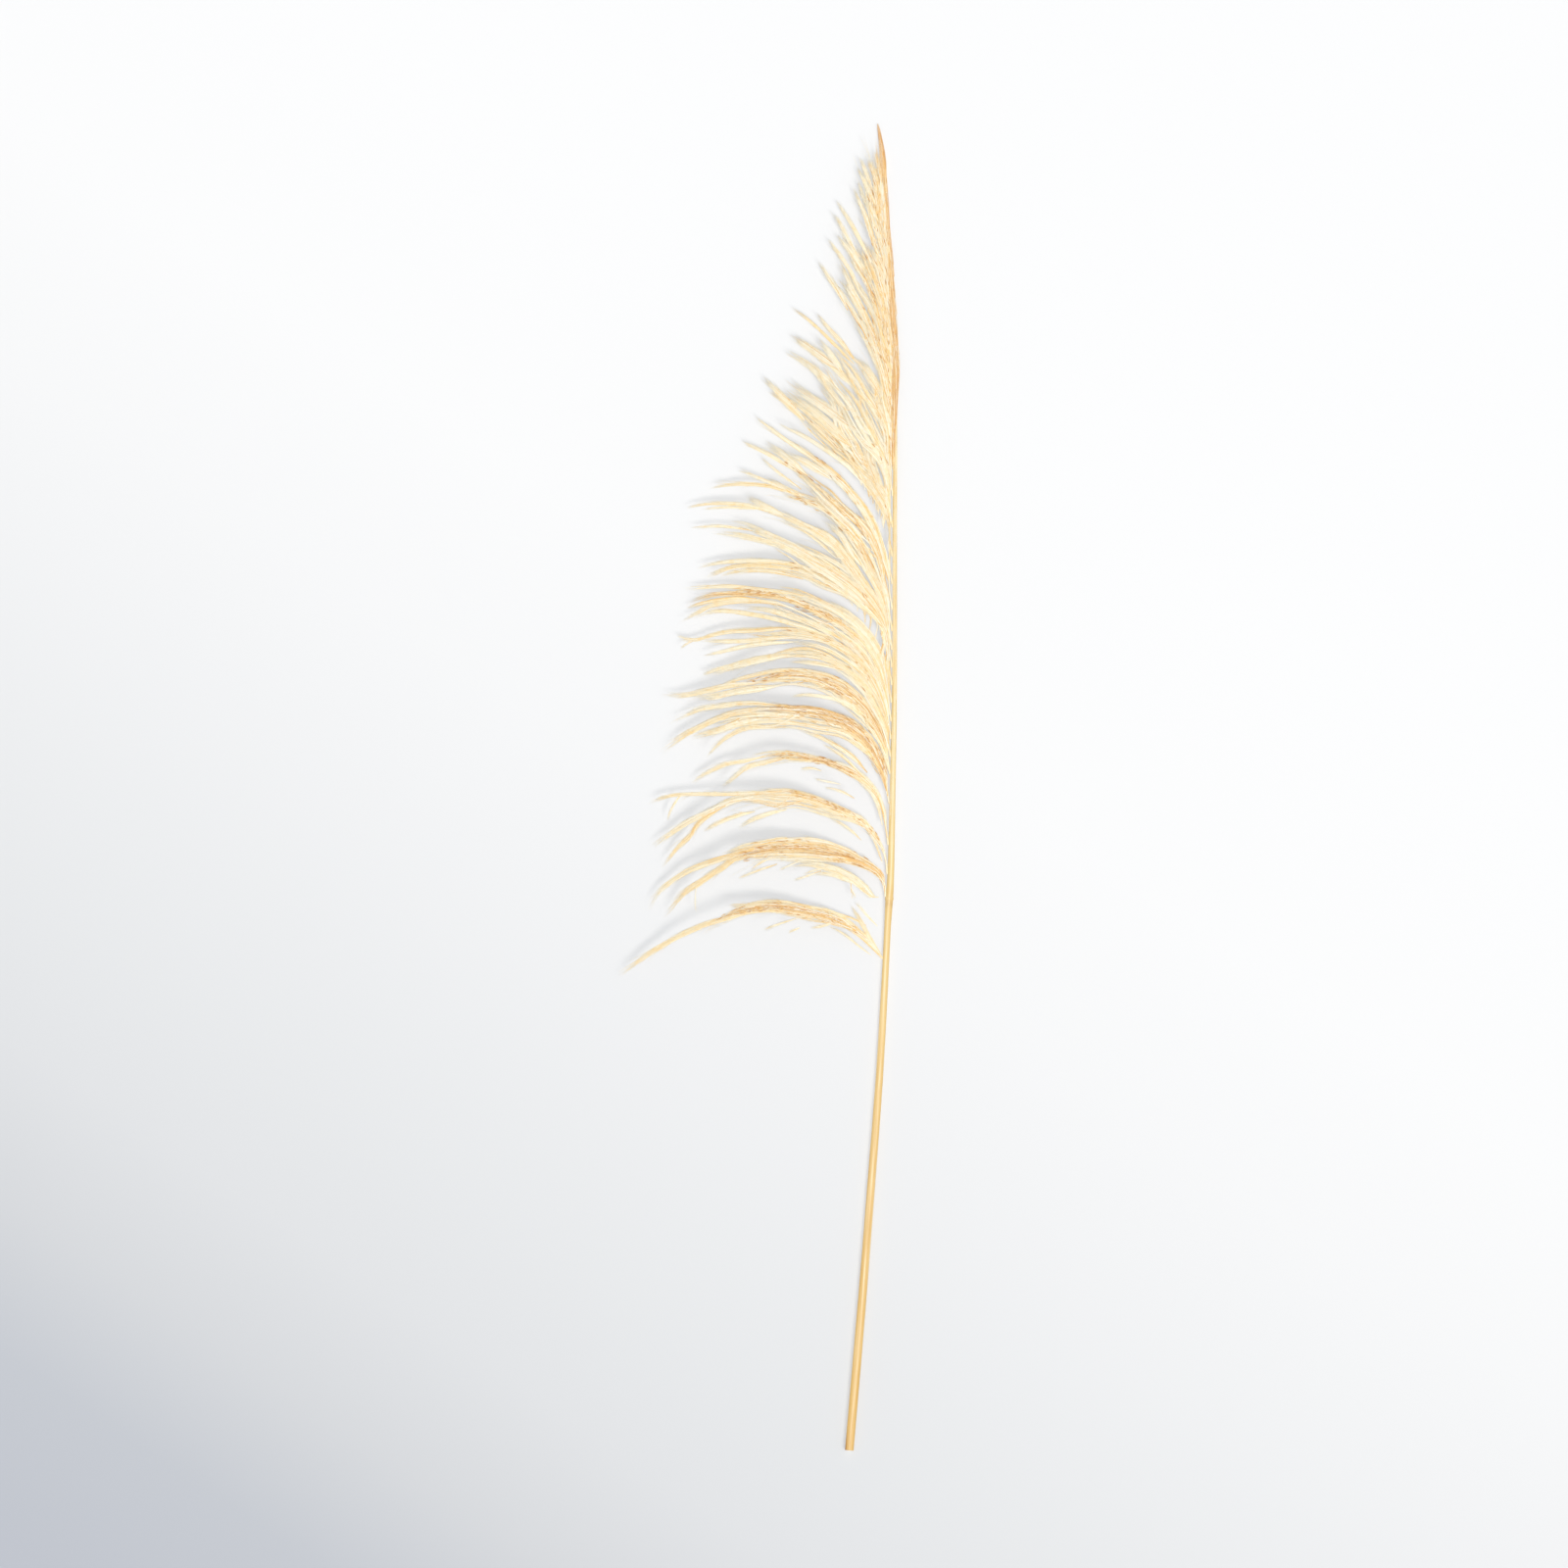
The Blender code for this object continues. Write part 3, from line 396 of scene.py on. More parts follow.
# Strands along listed routes
STRAND_STEPS = 4
STRAND_STATIONS = 10
STRAND_FIBRES = 0.34  # for each square millimetre
LEAST_STRAND_FIBRES = 3
LONGEST_SPAN = 0.9  # of the strand's length
STRAND_DRIFT = 0.7 * MM
STRAND_TONE_VARIES = 0.12
RAGGED = 0.3  # how much shorter the fibres of a broad bundle are at most
RAGGED_STREAKS = 0.4  # the share of it by which any bundle's streaks are shorter
STRAND_SAG = 0.25  # how far a bundle hangs to the hollow side of its route, in widths
STRAND_PROFILE = ((0.0, 0.25, 0.65, 1.0), (0.15, 1.0, 0.95, 0.4))
BLUNT_WIDTHS = (3.5, 6.0)  # broader strands keep more and more of their width up to a ragged end
BLUNT_FROM = 0.5

# Husks that lie in the golden core
SPIKELETS = 150  # in the strongest core, for each of these lengths of the route
SPIKELETS_ROUTE = 250 * MM
SPIKELETS_FROM = 0.35  # the weakest core that still holds any
SPIKELET_LENGTH = (4 * MM, 10 * MM)
SPIKELET_RADIUS = (0.3 * MM, 0.55 * MM)
SPIKELET_PROFILE = (0.35, 1.0, 0.8, 0.1)
SPIKELET_SIDES = 4
SPIKELET_SPREAD = 0.8  # in half widths of the core
SPIKELET_SLANT = 0.16
SPIKELET_LEVEL = (1.4, 3.6)  # in millimetres
SPIKELET_TONE = (0.82, 0.12)

# Loose fibres on the hollow side
STRAYS = 8
STRAY_STATIONS = 6
STRAY_ROOT = (0.1, 0.72)
STRAY_LENGTH = (26 * MM, 62 * MM)
STRAY_LANE = (-1.0, -0.3)
STRAY_DROOP = (2 * MM, 10 * MM)
STRAY_FALL = 1.7
STRAY_RADIUS = 0.2 * MM

# Fibres on the rachis: how many, from which heights and how long in millimetres, how thick, how much their
# tone varies, and its limits
Pressed = namedtuple("Pressed", "total heights lengths radius varies tones")
BUNDLE_FIBRES = Pressed(900, (1000, 1310), (28, 70), 0.24 * MM, 0.12, (0.1, 1.0))
STEM_FIBRES = Pressed(110, (600, 1180), (25, 80), 0.18 * MM, 0.08, (0.3, 0.8))
SPIKE_FIBRES = Pressed(160, (1296, 1338), (14, 34), 0.3 * MM, 0.05, (0.7, 1.0))
BUNDLE_SPOT = (0.0, 1.0)
BUNDLE_RISE = (0.2, 1.0)
BUNDLE_SPLAY = (-0.1, 0.35)  # of the bundle's width, for each of these lengths up the rachis
SPLAY_LENGTH = 60 * MM
BUNDLE_DOME = 1.6
BUNDLE_LEVEL = 0.3 * MM
BUNDLE_PALE = 0.25  # the share of them with the first tone
BUNDLE_TONES = (0.4, 0.86)
STEM_TONE = 0.5
SPIKE_TONE = 0.97
STEM_SIDE = (-1.0, 0.95)
STEM_WRAP = 1.1
STEM_LEVEL = 0.1 * MM
SPIKE_GIRTH = ((1300, 1.4), (1318, 2.4), (1335, 2.0), (1350, 0.9), (1355, 0.1))  # height and radius
SPIKE_ASIDE = 0.6 * MM
SPIKE_LEVEL = 2.0 * MM

# The cane's skin
STEM_FOOT_V = 0.01  # the map's second axis at the cut end, with the cut face below it
STEM_SPAN_V = 0.98
CUT_FACE_V = 0.003
CUT_EDGE_V = (0.008, 0.006)
STEM_SIDES = 28
STATION_STEP = 4 * MM
STATION_DECIMALS = 5
NODE_AT = 563 * MM
NODE_REACH = (-6, 6.1)  # in millimetres, with closer stations
NODE_STEP = 0.75
RIDGE = 0.5 * MM
RIDGE_WIDTH = 1.6 * MM
UNEVEN = 0.006  # how much the thickness and the ribs vary, in shares of it
RIBS = 0.018
CUT_RIM = ((0.0, 0.4), (0.04, 0.82), (0.12, 0.95), (0.5, 1.0))  # height in millimetres and share of the width
CUT_FACE_STATIONS = 2

FIBRE_COLOURS = (
    (PALE, (0.779, 0.731, 0.611)),
    (CREAM, (0.769, 0.694, 0.522)),
    (HONEY, (0.764, 0.643, 0.406)),
    (GOLD, (0.75, 0.522, 0.233)),
    (RUST, (0.532, 0.275, 0.1)),
)
TIP_COLOUR = (0.741, 0.696, 0.565, 1.0)
TIP_FADE = (0.4, 1.0, 0.0, 0.5)
PATCH_COLOUR = (1.0, 0.93, 0.8, 1.0)
PATCH_NOISE = (190.0, 2.0)  # scale and detail
PATCH_SPREAD = (0.52, 0.66)
# How strongly the shading normals lean up, as light that shines through the fibres would even them, and from
# which upward part of a normal
SOFT_SHADING = 1.2
SOFT_FROM = -0.5

# Colours along the cane, from the cut end to the spike, by height in millimetres
STRAW_COLOURS = (
    (0, (0.57, 0.364, 0.121)),
    (80, (0.58, 0.378, 0.128)),
    (280, (0.598, 0.404, 0.158)),
    (480, (0.627, 0.451, 0.192)),
    (552, (0.632, 0.458, 0.198)),
    (557, (0.49, 0.312, 0.109)),
    (561, (0.666, 0.507, 0.242)),
    (566, (0.588, 0.404, 0.152)),
    (580, (0.627, 0.463, 0.195)),
    (760, (0.622, 0.458, 0.195)),
    (1150, (0.613, 0.444, 0.185)),
    (1310, (0.568, 0.351, 0.133)),
    (1354, (0.372, 0.195, 0.067)),
)
PITH_COLOUR = (0.62, 0.50, 0.30, 1.0)
STAIN_COLOUR = (0.36, 0.17, 0.05, 1.0)
STAIN_HEIGHTS = (22, 2)  # in millimetres, from none to all of it
STAIN_SIDE = (0.56, 0.68)
STREAK_COLOUR = (0.86, 0.76, 0.56, 1.0)
BLEACHED_COLOUR = (0.76, 0.66, 0.44, 1.0)
# Noise drawn out along the cane: its scale round and along it, and its detail
FINE_STREAKS = (34.0, 26.0, 3.0)
BROAD_STREAKS = (7.0, 9.0, 2.0)
STREAK_NOISE = (0.45, 0.72)
BLEACHED_NOISE = (0.5, 0.75, 0.0, 0.6)
STRAW_ROUGHNESS = (0.3, 0.7, 0.36, 0.56)

# The photograph's frame, in its pixels
IMAGE_SIDE = 1600
PIXEL = 1.0 * MM
RACHIS_LINE_PX = 912
CUT_END_PX = 1480
CAMERA_HEIGHT = 3.0
CLIP_END = 20.0

# The floor's painted shade, white at one end and greyer and bluer at the other where the light falls off: a
# fall line in the photograph's pixels, and stops along it
FLOOR_SIZE = 6.0
FLOOR_SHADE_FALL = (-0.56, 0.83)
FLOOR_FIRST = -200
FLOOR_LAST = 1400
FLOOR_ALBEDO = 0.664
FLOOR_PAINTED_SHADE_STOPS = (
    (-200, (1.0, 1.0, 1.0)),
    (100, (0.99, 0.99, 0.99)),
    (300, (0.955, 0.957, 0.96)),
    (500, (0.90, 0.905, 0.912)),
    (735, (0.83, 0.84, 0.85)),
    (875, (0.785, 0.795, 0.81)),
    (1015, (0.70, 0.713, 0.735)),
    (1145, (0.59, 0.612, 0.655)),
    (1300, (0.55, 0.572, 0.625)),
)

# Strength of the sky by the sine of its elevation: pale at the horizon, and little light from higher up
SKY_COLOUR = (0.965, 0.98, 0.99)
SKY = ((0.0, 1.1), (0.08, 1.0), (0.2, 0.36), (1.0, 0.27))
# Suns: name, strength, colour, angular width in degrees, and tilt from straight above towards the lower right
SUNS = (
    ("softbox", 2.85, (0.968, 0.983, 1.0), 4, 0),
    ("key", 1.1, (1.0, 0.963, 0.926), 18, 33),
)
SUN_BEARING = math.radians(45)
BOUNCES = 14
DIFFUSE_BOUNCES = 10


def smooth(points, steps):
    """A smooth line through the points, with this many steps from each to the next."""
    points = np.asarray(points, float)
    ends = np.vstack([2 * points[0] - points[1], points, 2 * points[-1] - points[-2]])
    share = np.arange(steps)[:, None] / steps
    line = []
    for before, start, end, after in zip(ends, ends[1:], ends[2:], ends[3:]):
        bend = 2 * before - 5 * start + 4 * end - after
        twist = 3 * start - 3 * end + after - before
        line.append(0.5 * (2 * start + (end - before) * share + bend * share**2 + twist * share**3))
    return np.vstack(line + [points[-1:]])


def ease(value, start=0.0, end=1.0):
    """0 to 1 from start to end, and level at both."""
    share = np.clip((value - start) / (end - start), 0.0, 1.0)
    return share * share * (3 - 2 * share)


def quick_start(along):
    """0 to 1, fast at first and level at the end."""
    return 1 - (1 - np.clip(along, 0.0, 1.0)) ** 2


def tapered(thick, along, taper):
    """Radii that shrink from this thick at the root to the finest at the tip."""
    return FINEST + (thick - FINEST) * (1 - along) ** taper


STEM_LINE = MM * smooth(STEM_ROUTE, STEM_STEPS)


def stem_at(height):
    """(distance left of the rachis line, half width) of the stem at heights above the cut end."""
    return tuple(np.interp(height, STEM_LINE[:, 0], STEM_LINE[:, column]) for column in (1, 2))


def lift(height):
    """How far the rachis stands off the table, at heights above the cut end."""
    share = np.clip((height - LIFT_FROM) / (LIFT_TO - LIFT_FROM), 0.0, 1.0)
    return LIFT * np.sin(math.pi * share) ** 2


# The rachis line's foot in the frame: the stem's right edge gives its place across, its two ends the other
stem_low, stem_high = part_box("stem")
STEM_RIGHT = float(np.max(STEM_LINE[:, 2] - STEM_LINE[:, 1]))
ORIGIN = np.array([
    stem_high.x - STEM_RIGHT,
    (stem_low.y + stem_high.y) / 2 - STEM_LINE[-1, 0] / 2,
    0.0,
])


class Path:
    """A smooth line through given points, read by the share of its length that lies behind."""

    STEPS = 10
    HEADING_SPAN = 0.02
    SEARCHED = 101

    def __init__(self, points):
        self.points = smooth(points, self.STEPS)
        travelled = np.cumsum(np.linalg.norm(np.diff(self.points, axis=0), axis=1))
        self.length = travelled[-1]
        self.shares = np.concatenate([[0.0], travelled]) / self.length

    def at(self, share):
        return np.stack([np.interp(share, self.shares, values) for values in self.points.T], axis=-1)

    def heading(self, share):
        ahead = self.at(np.minimum(1.0, share + self.HEADING_SPAN))
        step = ahead - self.at(np.maximum(0.0, share - self.HEADING_SPAN))
        return step / np.linalg.norm(step, axis=-1, keepdims=True)

    def nearest(self, point):
        shares = np.linspace(0.0, 1.0, self.SEARCHED)
        return shares[np.argmin(np.linalg.norm(self.at(shares) - point, axis=1))]


class Frond:
    """Where one spray lies: its plan route from the seat on the stem, its band, its arch and its lean."""

    def __init__(self, spray):
        seat_height = spray.route[0][1] * MM
        left, half_width = stem_at(seat_height)
        self.seat_z = half_width + lift(seat_height)
        seat = (-(left + half_width), seat_height)
        self.path = Path([seat] + [(-left * MM, height * MM) for left, height in spray.route[1:]])
        self.top = ARCH_BASE + ARCH_SHARE * max(left for left, _ in spray.route) * MM
        rows = np.array([(0.0, *BAND_AT_SEAT), *spray.band])
        self.band_shares = rows[:, 0]
        self.outer = rows[:, 1] * MM
        self.inner = rows[:, 2] * MM
        self.widest = float(np.max(self.outer + self.inner))
        self.core = spray.core

    def reach(self, point):
        """(share, aside) of a plan point."""
        share = self.path.nearest(point)
        heading = self.path.heading(share)
        offset = point - self.path.at(share)
        return share + offset @ heading / self.path.length, offset[0] * heading[1] - offset[1] * heading[0]

    def arch(self, share):
        """Height of the branch's middle above the table."""
        rising = self.seat_z + (self.top - self.seat_z) * ease(share, 0.0, FULL_ARCH_AT)
        return rising + (TIP_HEIGHT - rising) * ease(share, FALL_FROM)

    def band(self, share, lane):
        """How far aside a lane lies, from -1 at the hollow edge of the band to 1 at its arched edge."""
        outer = np.interp(share, self.band_shares, self.outer)
        inner = np.interp(share, self.band_shares, self.inner)
        return ((1 + lane) * outer - (1 - lane) * inner) / 2

    def golden(self, share, aside):
        """How golden the fibres are there, from 0 to 1."""
        first, last, middle, half_width, strength = self.core
        across = np.exp(-(((aside / MM - middle) / half_width) ** 2))
        begun = ease((share - first + CORE_FADE) / CORE_FADE)
        return strength * across * begun * ease((last - share) / CORE_FADE + 1)

    def place(self, share, aside, level, radius):
        """Points beside the branch, aside being positive on its outer side and level being above it."""
        over = np.maximum(share - 1.0, 0.0) * self.path.length
        heading = self.path.heading(np.clip(share, 0.0, 1.0))
        middle = self.path.at(np.clip(share, 0.0, 1.0)) + heading * over[..., None]
        outward = np.stack([heading[..., 1], -heading[..., 0]], axis=-1)
        point = middle + outward * aside[..., None]
        left, half_width = stem_at(point[..., 1])
        slit = SLIT * ease(share, 0.0, SLIT_FULL_AT) * ease(point[..., 1], *SLIT_FADE)
        room = -(left + half_width) - point[..., 0] - slit
        room = slit + STEM_SOFTNESS * np.logaddexp(0.0, room / STEM_SOFTNESS)
        leaning = LEAN * (1 - ease(share, LEAN_UNTIL)) * np.clip(aside, -LEAN_REACH, LEAN_REACH)
        height = np.maximum(self.arch(share) - leaning + level, radius)
        return np.stack([-(left + half_width) - room, point[..., 1], height], axis=-1)


class Locks:
    """The locks of one spray as arrays with one entry a lock."""

    def __init__(self, draw, frond):
        even = round(LOCKS_AT_LEAST + LOCKS_PER_MM * frond.widest / MM)
        total = even + CORE_LOCKS
        self.frond = frond
        lanes = (np.arange(even) + 0.5) / even + draw.uniform(-CLUMPING, CLUMPING, even)
        first, last, middle, half_width, _ = frond.core
        outer, inner = frond.band((first + last) / 2, np.array([1.0, -1.0])) * (1, -1)
        core = (middle + half_width * draw.uniform(-1.0, 1.0, CORE_LOCKS)) * MM
        core_lanes = (2 * core - outer + inner) / (outer + inner)
        self.lane = np.clip(np.concatenate([2 * lanes - 1, core_lanes]), -1, 1)
        band_end = frond.band_shares[-1]
        self.root = band_end * LAST_ROOT * draw.uniform(0.0, 1.0, total) ** ROOT_CROWDING
        last_end = band_end * draw.uniform(*LAST_END, total)
        self.span = np.minimum(draw.uniform(*LOCK_SPAN, total), last_end - self.root)
        self.length = self.span * frond.path.length
        self.level = draw.normal(0.0, 1.0, total) * LOCK_LEVEL
        self.droop = -draw.uniform(0.0, 1.0, total) ** 2 * np.where(self.lane < 0, 1.0, ARCHED_DROOP) * DROOP
        self.waves = draw.uniform(*WAVES, total)
        self.phase = draw.uniform(0.0, TURN, total)
        reach = np.abs(frond.band(self.root + self.span / 2, self.lane))
        self.leaving = np.clip(reach / (STEEPEST * self.length), LEAVING, 1.0)
        kind = draw.uniform(0.0, 1.0, total)
        pale = draw.uniform(PALE, CREAM, total)
        honey = draw.uniform(CREAM, HONEY, total)
        golden = draw.uniform(HONEY, GOLD, total)
        self.tone = np.where(kind < PALE_LOCKS, pale, np.where(kind < 1 - GOLDEN_LOCKS, honey, golden))

    def track(self, which, along):
        """(share, aside, level) at shares along the locks of these numbers."""
        share = self.root[which] + self.span[which] * along
        gone = quick_start(along / self.leaving[which])
        wander = WANDER * np.sin(self.phase[which] + TURN * self.waves[which] * along)
        aside = (self.frond.band(share, self.lane[which]) + wander) * gone + self.droop[which] * along**3
        return share, aside, self.level[which] * gone


def linked(name, data):
    """An object with this data, in the scene."""
    made = bpy.data.objects.new(name, data)
    bpy.context.scene.collection.objects.link(made)
    return made


class Growth:
    """Collects slim tapering tubes, and makes one mesh of them all."""

    def __init__(self):
        self.vertices = []
        self.faces = []
        self.maps = []
        self.normals = []
        self.held = 0

    def add(self, centres, radii, tones, along, sides=3, ribs=1.0):
        """Tubes through centres[tube, station], closed at the root and drawn to a point at the last one."""
        tubes, stations, _ = centres.shape
        heading = np.gradient(centres, axis=1)
        heading /= np.linalg.norm(heading, axis=-1, keepdims=True)
        across = np.cross(heading, [0.0, 0.0, 1.0])
        across /= np.maximum(np.linalg.norm(across, axis=-1, keepdims=True), NO_LENGTH)
        over = np.cross(across, heading)
        turns = TURN * np.arange(sides) / sides - math.pi / 2
        body = slice(0, stations - 1)
        spokes = np.cos(turns)[:, None] * across[:, body, None] + np.sin(turns)[:, None] * over[:, body, None]
        reach = radii[:, body, None] * np.broadcast_to(ribs, (sides,))
        ring = centres[:, body, None] + reach[..., None] * spokes
        points = np.concatenate([ring.reshape(tubes, -1, 3), centres[:, -1:]], axis=1)
        normals = np.concatenate([spokes.reshape(tubes, -1, 3), over[:, -1:]], axis=1)
        marks = np.concatenate([np.repeat(along[:, body], sides, axis=1), along[:, -1:]], axis=1)
        if tones.ndim == 2:  # a tone for each side
            tones = np.concatenate([np.tile(tones, (1, stations - 1)), tones[:, sides // 2, None]], axis=1)
        else:
            tones = np.broadcast_to(tones[:, None], marks.shape)
        first = self.held + np.arange(tubes) * points.shape[1]
        self.faces.append((first[:, None, None] + tube_faces(stations, sides)).reshape(-1, 3))
        self.vertices.append(points.reshape(-1, 3))
        self.normals.append(normals.reshape(-1, 3))
        self.maps.append(np.stack([tones, marks], axis=-1).reshape(-1, 2))
        self.held += tubes * points.shape[1]

    def hairs(self, frond, track, radii, tones, along, sides=3):
        """Tubes beside a spray's branch, along tracks of (share, aside, level)."""
        share, aside, level = track
        along = np.broadcast_to(along, share.shape)
        radii = np.broadcast_to(radii, share.shape)
        self.add(frond.place(share, aside, level, radii), radii, tones, along, sides)

    def mesh(self, name, material, slot, own_normals=True):
        vertices = np.vstack(self.vertices) + ORIGIN
        vertices[:, 2] = np.maximum(vertices[:, 2], 0.0)
        faces = np.vstack(self.faces)
        data = bpy.data.meshes.new(name)
        data.vertices.add(len(vertices))
        data.vertices.foreach_set("co", vertices.astype(np.float32).ravel())
        data.loops.add(faces.size)
        data.loops.foreach_set("vertex_index", faces.astype(np.int32).ravel())
        data.polygons.add(len(faces))
        data.polygons.foreach_set("loop_start", np.arange(0, faces.size, 3, dtype=np.int32))
        layer = data.uv_layers.new(name=UV_MAP)
        places = np.vstack(self.maps)[faces]
        over_seam = np.ptp(places[..., 0], axis=1, keepdims=True) > HALF_MAP
        places[..., 0] += over_seam & (places[..., 0] < HALF_MAP)
        layer.uv.foreach_set("vector", places.astype(np.float32).ravel())
        data.update(calc_edges=True)
        data.validate()
        data.shade_smooth()
        if own_normals:  # a hair's shading runs straight to its tip
            normals = np.vstack(self.normals)
        else:
            normals = np.array([normal.vector for normal in data.vertex_normals])
        normals[:, 2] += SOFT_SHADING * np.clip(normals[:, 2] - SOFT_FROM, 0.0, 1.0)
        data.normals_split_custom_set_from_vertices(normals / np.linalg.norm(normals, axis=1, keepdims=True))
        data.materials.append(material)
        made = linked(name, data)
        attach(made, "root")
        return made


def tube_faces(stations, sides):
    """Triangles of one tube whose rings are numbered from the root, with its tip as the last vertex."""
    faces = [(0, side, side + 1) for side in range(1, sides - 1)]
    for ring in range(stations - 2):
        for side in range(sides):
            near = ring * sides + side
            beside = ring * sides + (side + 1) % sides
            faces += [(near, beside + sides, beside), (near, near + sides, beside + sides)]
    last = (stations - 2) * sides
    faces += [(last + side, last + sides, last + (side + 1) % sides) for side in range(sides)]
    return np.array(faces)


def grow_branch(growth, draw, frond):
    """The branch itself, as far as the band reaches."""
    along = np.linspace(0.0, 1.0, BRANCH_STATIONS)[None]
    share = frond.band_shares[-1] * along
    swing = BRANCH_SWING * np.sin(along * draw.uniform(*BRANCH_WAVES))
    aside = frond.band(share, 0.0) * ease(along / BRANCH_FREE_AT) + swing
    radii = tapered(BRANCH_RADIUS, along, BRANCH_TAPER)
    tone = np.array([draw.uniform(CREAM, HONEY)])
    growth.hairs(frond, (share, aside, 0.0), radii, tone, along, BRANCH_SIDES)


def add_streaks(growth, draw, frond, track, along):
    """Single strands, pale or golden, that show as streaks on the finer fibres."""
    total = len(along)
    thick = MM * draw.uniform(*LEAD_RADIUS, total)[:, None]
    golden, pale = (draw.uniform(*tones, total) for tones in LEAD_TONES)
    tones = np.where(draw.uniform(0.0, 1.0, total) < LEAD_GOLDEN, golden, pale)
    growth.hairs(frond, track, tapered(thick, along, LEAD_TAPER), tones, along)


def strewn(aside, level, turn, spread, drift, step):
    """(aside, level) of fibres that lie round a bundle's middle and drift off it more and more."""
    fanning = step**FANNING
    aside = aside + spread * np.cos(turn)[:, None] + drift[0][:, None] * fanning
    return aside, level + spread * np.sin(turn)[:, None] + drift[1][:, None] * fanning


def grow_locks(growth, draw, locks):
    """Each lock's own strands, and the fibres that lie along it."""
    frond = locks.frond
    numbers = np.arange(len(locks.lane))
    which = np.repeat(numbers, LEADS)[:, None]
    along = np.broadcast_to(np.linspace(0.0, 1.0, STRAND_STATIONS), (len(which), STRAND_STATIONS))
    share, aside, level = locks.track(which, along)
    leaving = quick_start(along / LEAD_FREE_AT)
    aside = aside + LEAD_ASIDE * draw.uniform(-1.0, 1.0, which.shape) * leaving
    level = level + MM * draw.uniform(*LEAD_LEVEL, which.shape) * leaving
    add_streaks(growth, draw, frond, (share, aside, level), along)

    thinned = 1 - THINNING * ease(-locks.lane)
    fibres = np.maximum(LEAST_FIBRES, np.round(FIBRES_PER_MM * locks.length / MM * thinned)).astype(int)
    which = np.repeat(numbers, fibres)
    total = len(which)
    length = draw.uniform(*FIBRE_LENGTH, total) / locks.length[which]
    start = draw.uniform(0.0, 1.0, total) * np.maximum(LEAST_START, 1 - (1 - OVERSHOOT) * length)
    step = np.linspace(0.0, 1.0, FIBRE_STATIONS)
    along = start[:, None] + length[:, None] * step
    share, aside, level = locks.track(which[:, None], along)
    turn = draw.uniform(0.0, TURN, total)
    spread = LOCK_RADIUS * np.sqrt(draw.uniform(0, 1, total))[:, None] * np.interp(along, *LOCK_PROFILE)
    loose = np.where(draw.uniform(0, 1, total) < LOOSE_SHARE, LOOSE_DRIFT, 1.0)
    drift = draw.normal(0.0, 1.0, (2, total)) * FIBRE_DRIFT * loose
    aside, level = strewn(aside, level, turn, spread, drift, step)
    thick = FIBRE_RADIUS * draw.uniform(*THICKNESS, total)[:, None]
    golden = frond.golden(share.mean(axis=1), aside.mean(axis=1)) * draw.uniform(*GOLD_VARIES, total)
    near_root = 1 - ease(share.mean(axis=1) / ROOT_GOLD_UNTIL)
    tones = locks.tone[which] + draw.normal(0.0, TONE_VARIES, total) + ROOT_GOLD * near_root
    tones = np.clip(tones + (CORE_TONE - tones) * golden, 0, 1)
    growth.hairs(frond, (share, aside, level), tapered(thick, step, FIBRE_TAPER), tones, step)


def grow_spikelets(growth, draw, frond):
    """Short golden and rust spindles, the husks that are left, lying in the golden core."""
    first, last, middle, half_width, strength = frond.core
    if strength <= SPIKELETS_FROM:
        return
    total = math.ceil(SPIKELETS * (strength - SPIKELETS_FROM) * frond.path.length / SPIKELETS_ROUTE)
    start = draw.uniform(first, last, total)
    length = draw.uniform(*SPIKELET_LENGTH, total)
    step = np.linspace(0.0, 1.0, len(SPIKELET_PROFILE))
    share = start[:, None] + length[:, None] * step / frond.path.length
    aside = (middle + SPIKELET_SPREAD * half_width * draw.normal(0.0, 1.0, total)) * MM
    aside = aside[:, None] + draw.normal(0.0, SPIKELET_SLANT, total)[:, None] * length[:, None] * step
    aside = np.clip(aside, frond.band(share, -1.0), frond.band(share, 1.0))
    level = draw.uniform(*SPIKELET_LEVEL, total)[:, None] * MM
    radii = draw.uniform(*SPIKELET_RADIUS, total)[:, None] * np.array(SPIKELET_PROFILE)
    tones = np.clip(draw.normal(*SPIKELET_TONE, total), HONEY, 1.0)
    growth.hairs(frond, (share, aside, level), radii, tones, step, SPIKELET_SIDES)


def grow_strays(growth, draw, frond):
    """Single pale fibres that hang off the hollow side of the band."""
    spans = (STRAY_ROOT, STRAY_LENGTH, STRAY_LANE, STRAY_DROOP)
    start, length, lane, droop = (draw.uniform(*span, STRAYS)[:, None] for span in spans)
    step = np.linspace(0.0, 1.0, STRAY_STATIONS)
    share = start + length * step / frond.path.length
    aside = frond.band(start, lane) - droop * step**STRAY_FALL
    level = draw.normal(0.0, 1.0, STRAYS)[:, None] * LOCK_LEVEL
    tones = draw.uniform(PALE, CREAM, STRAYS)
    growth.hairs(frond, (share, aside, level), tapered(STRAY_RADIUS, step, FIBRE_TAPER), tones, step)


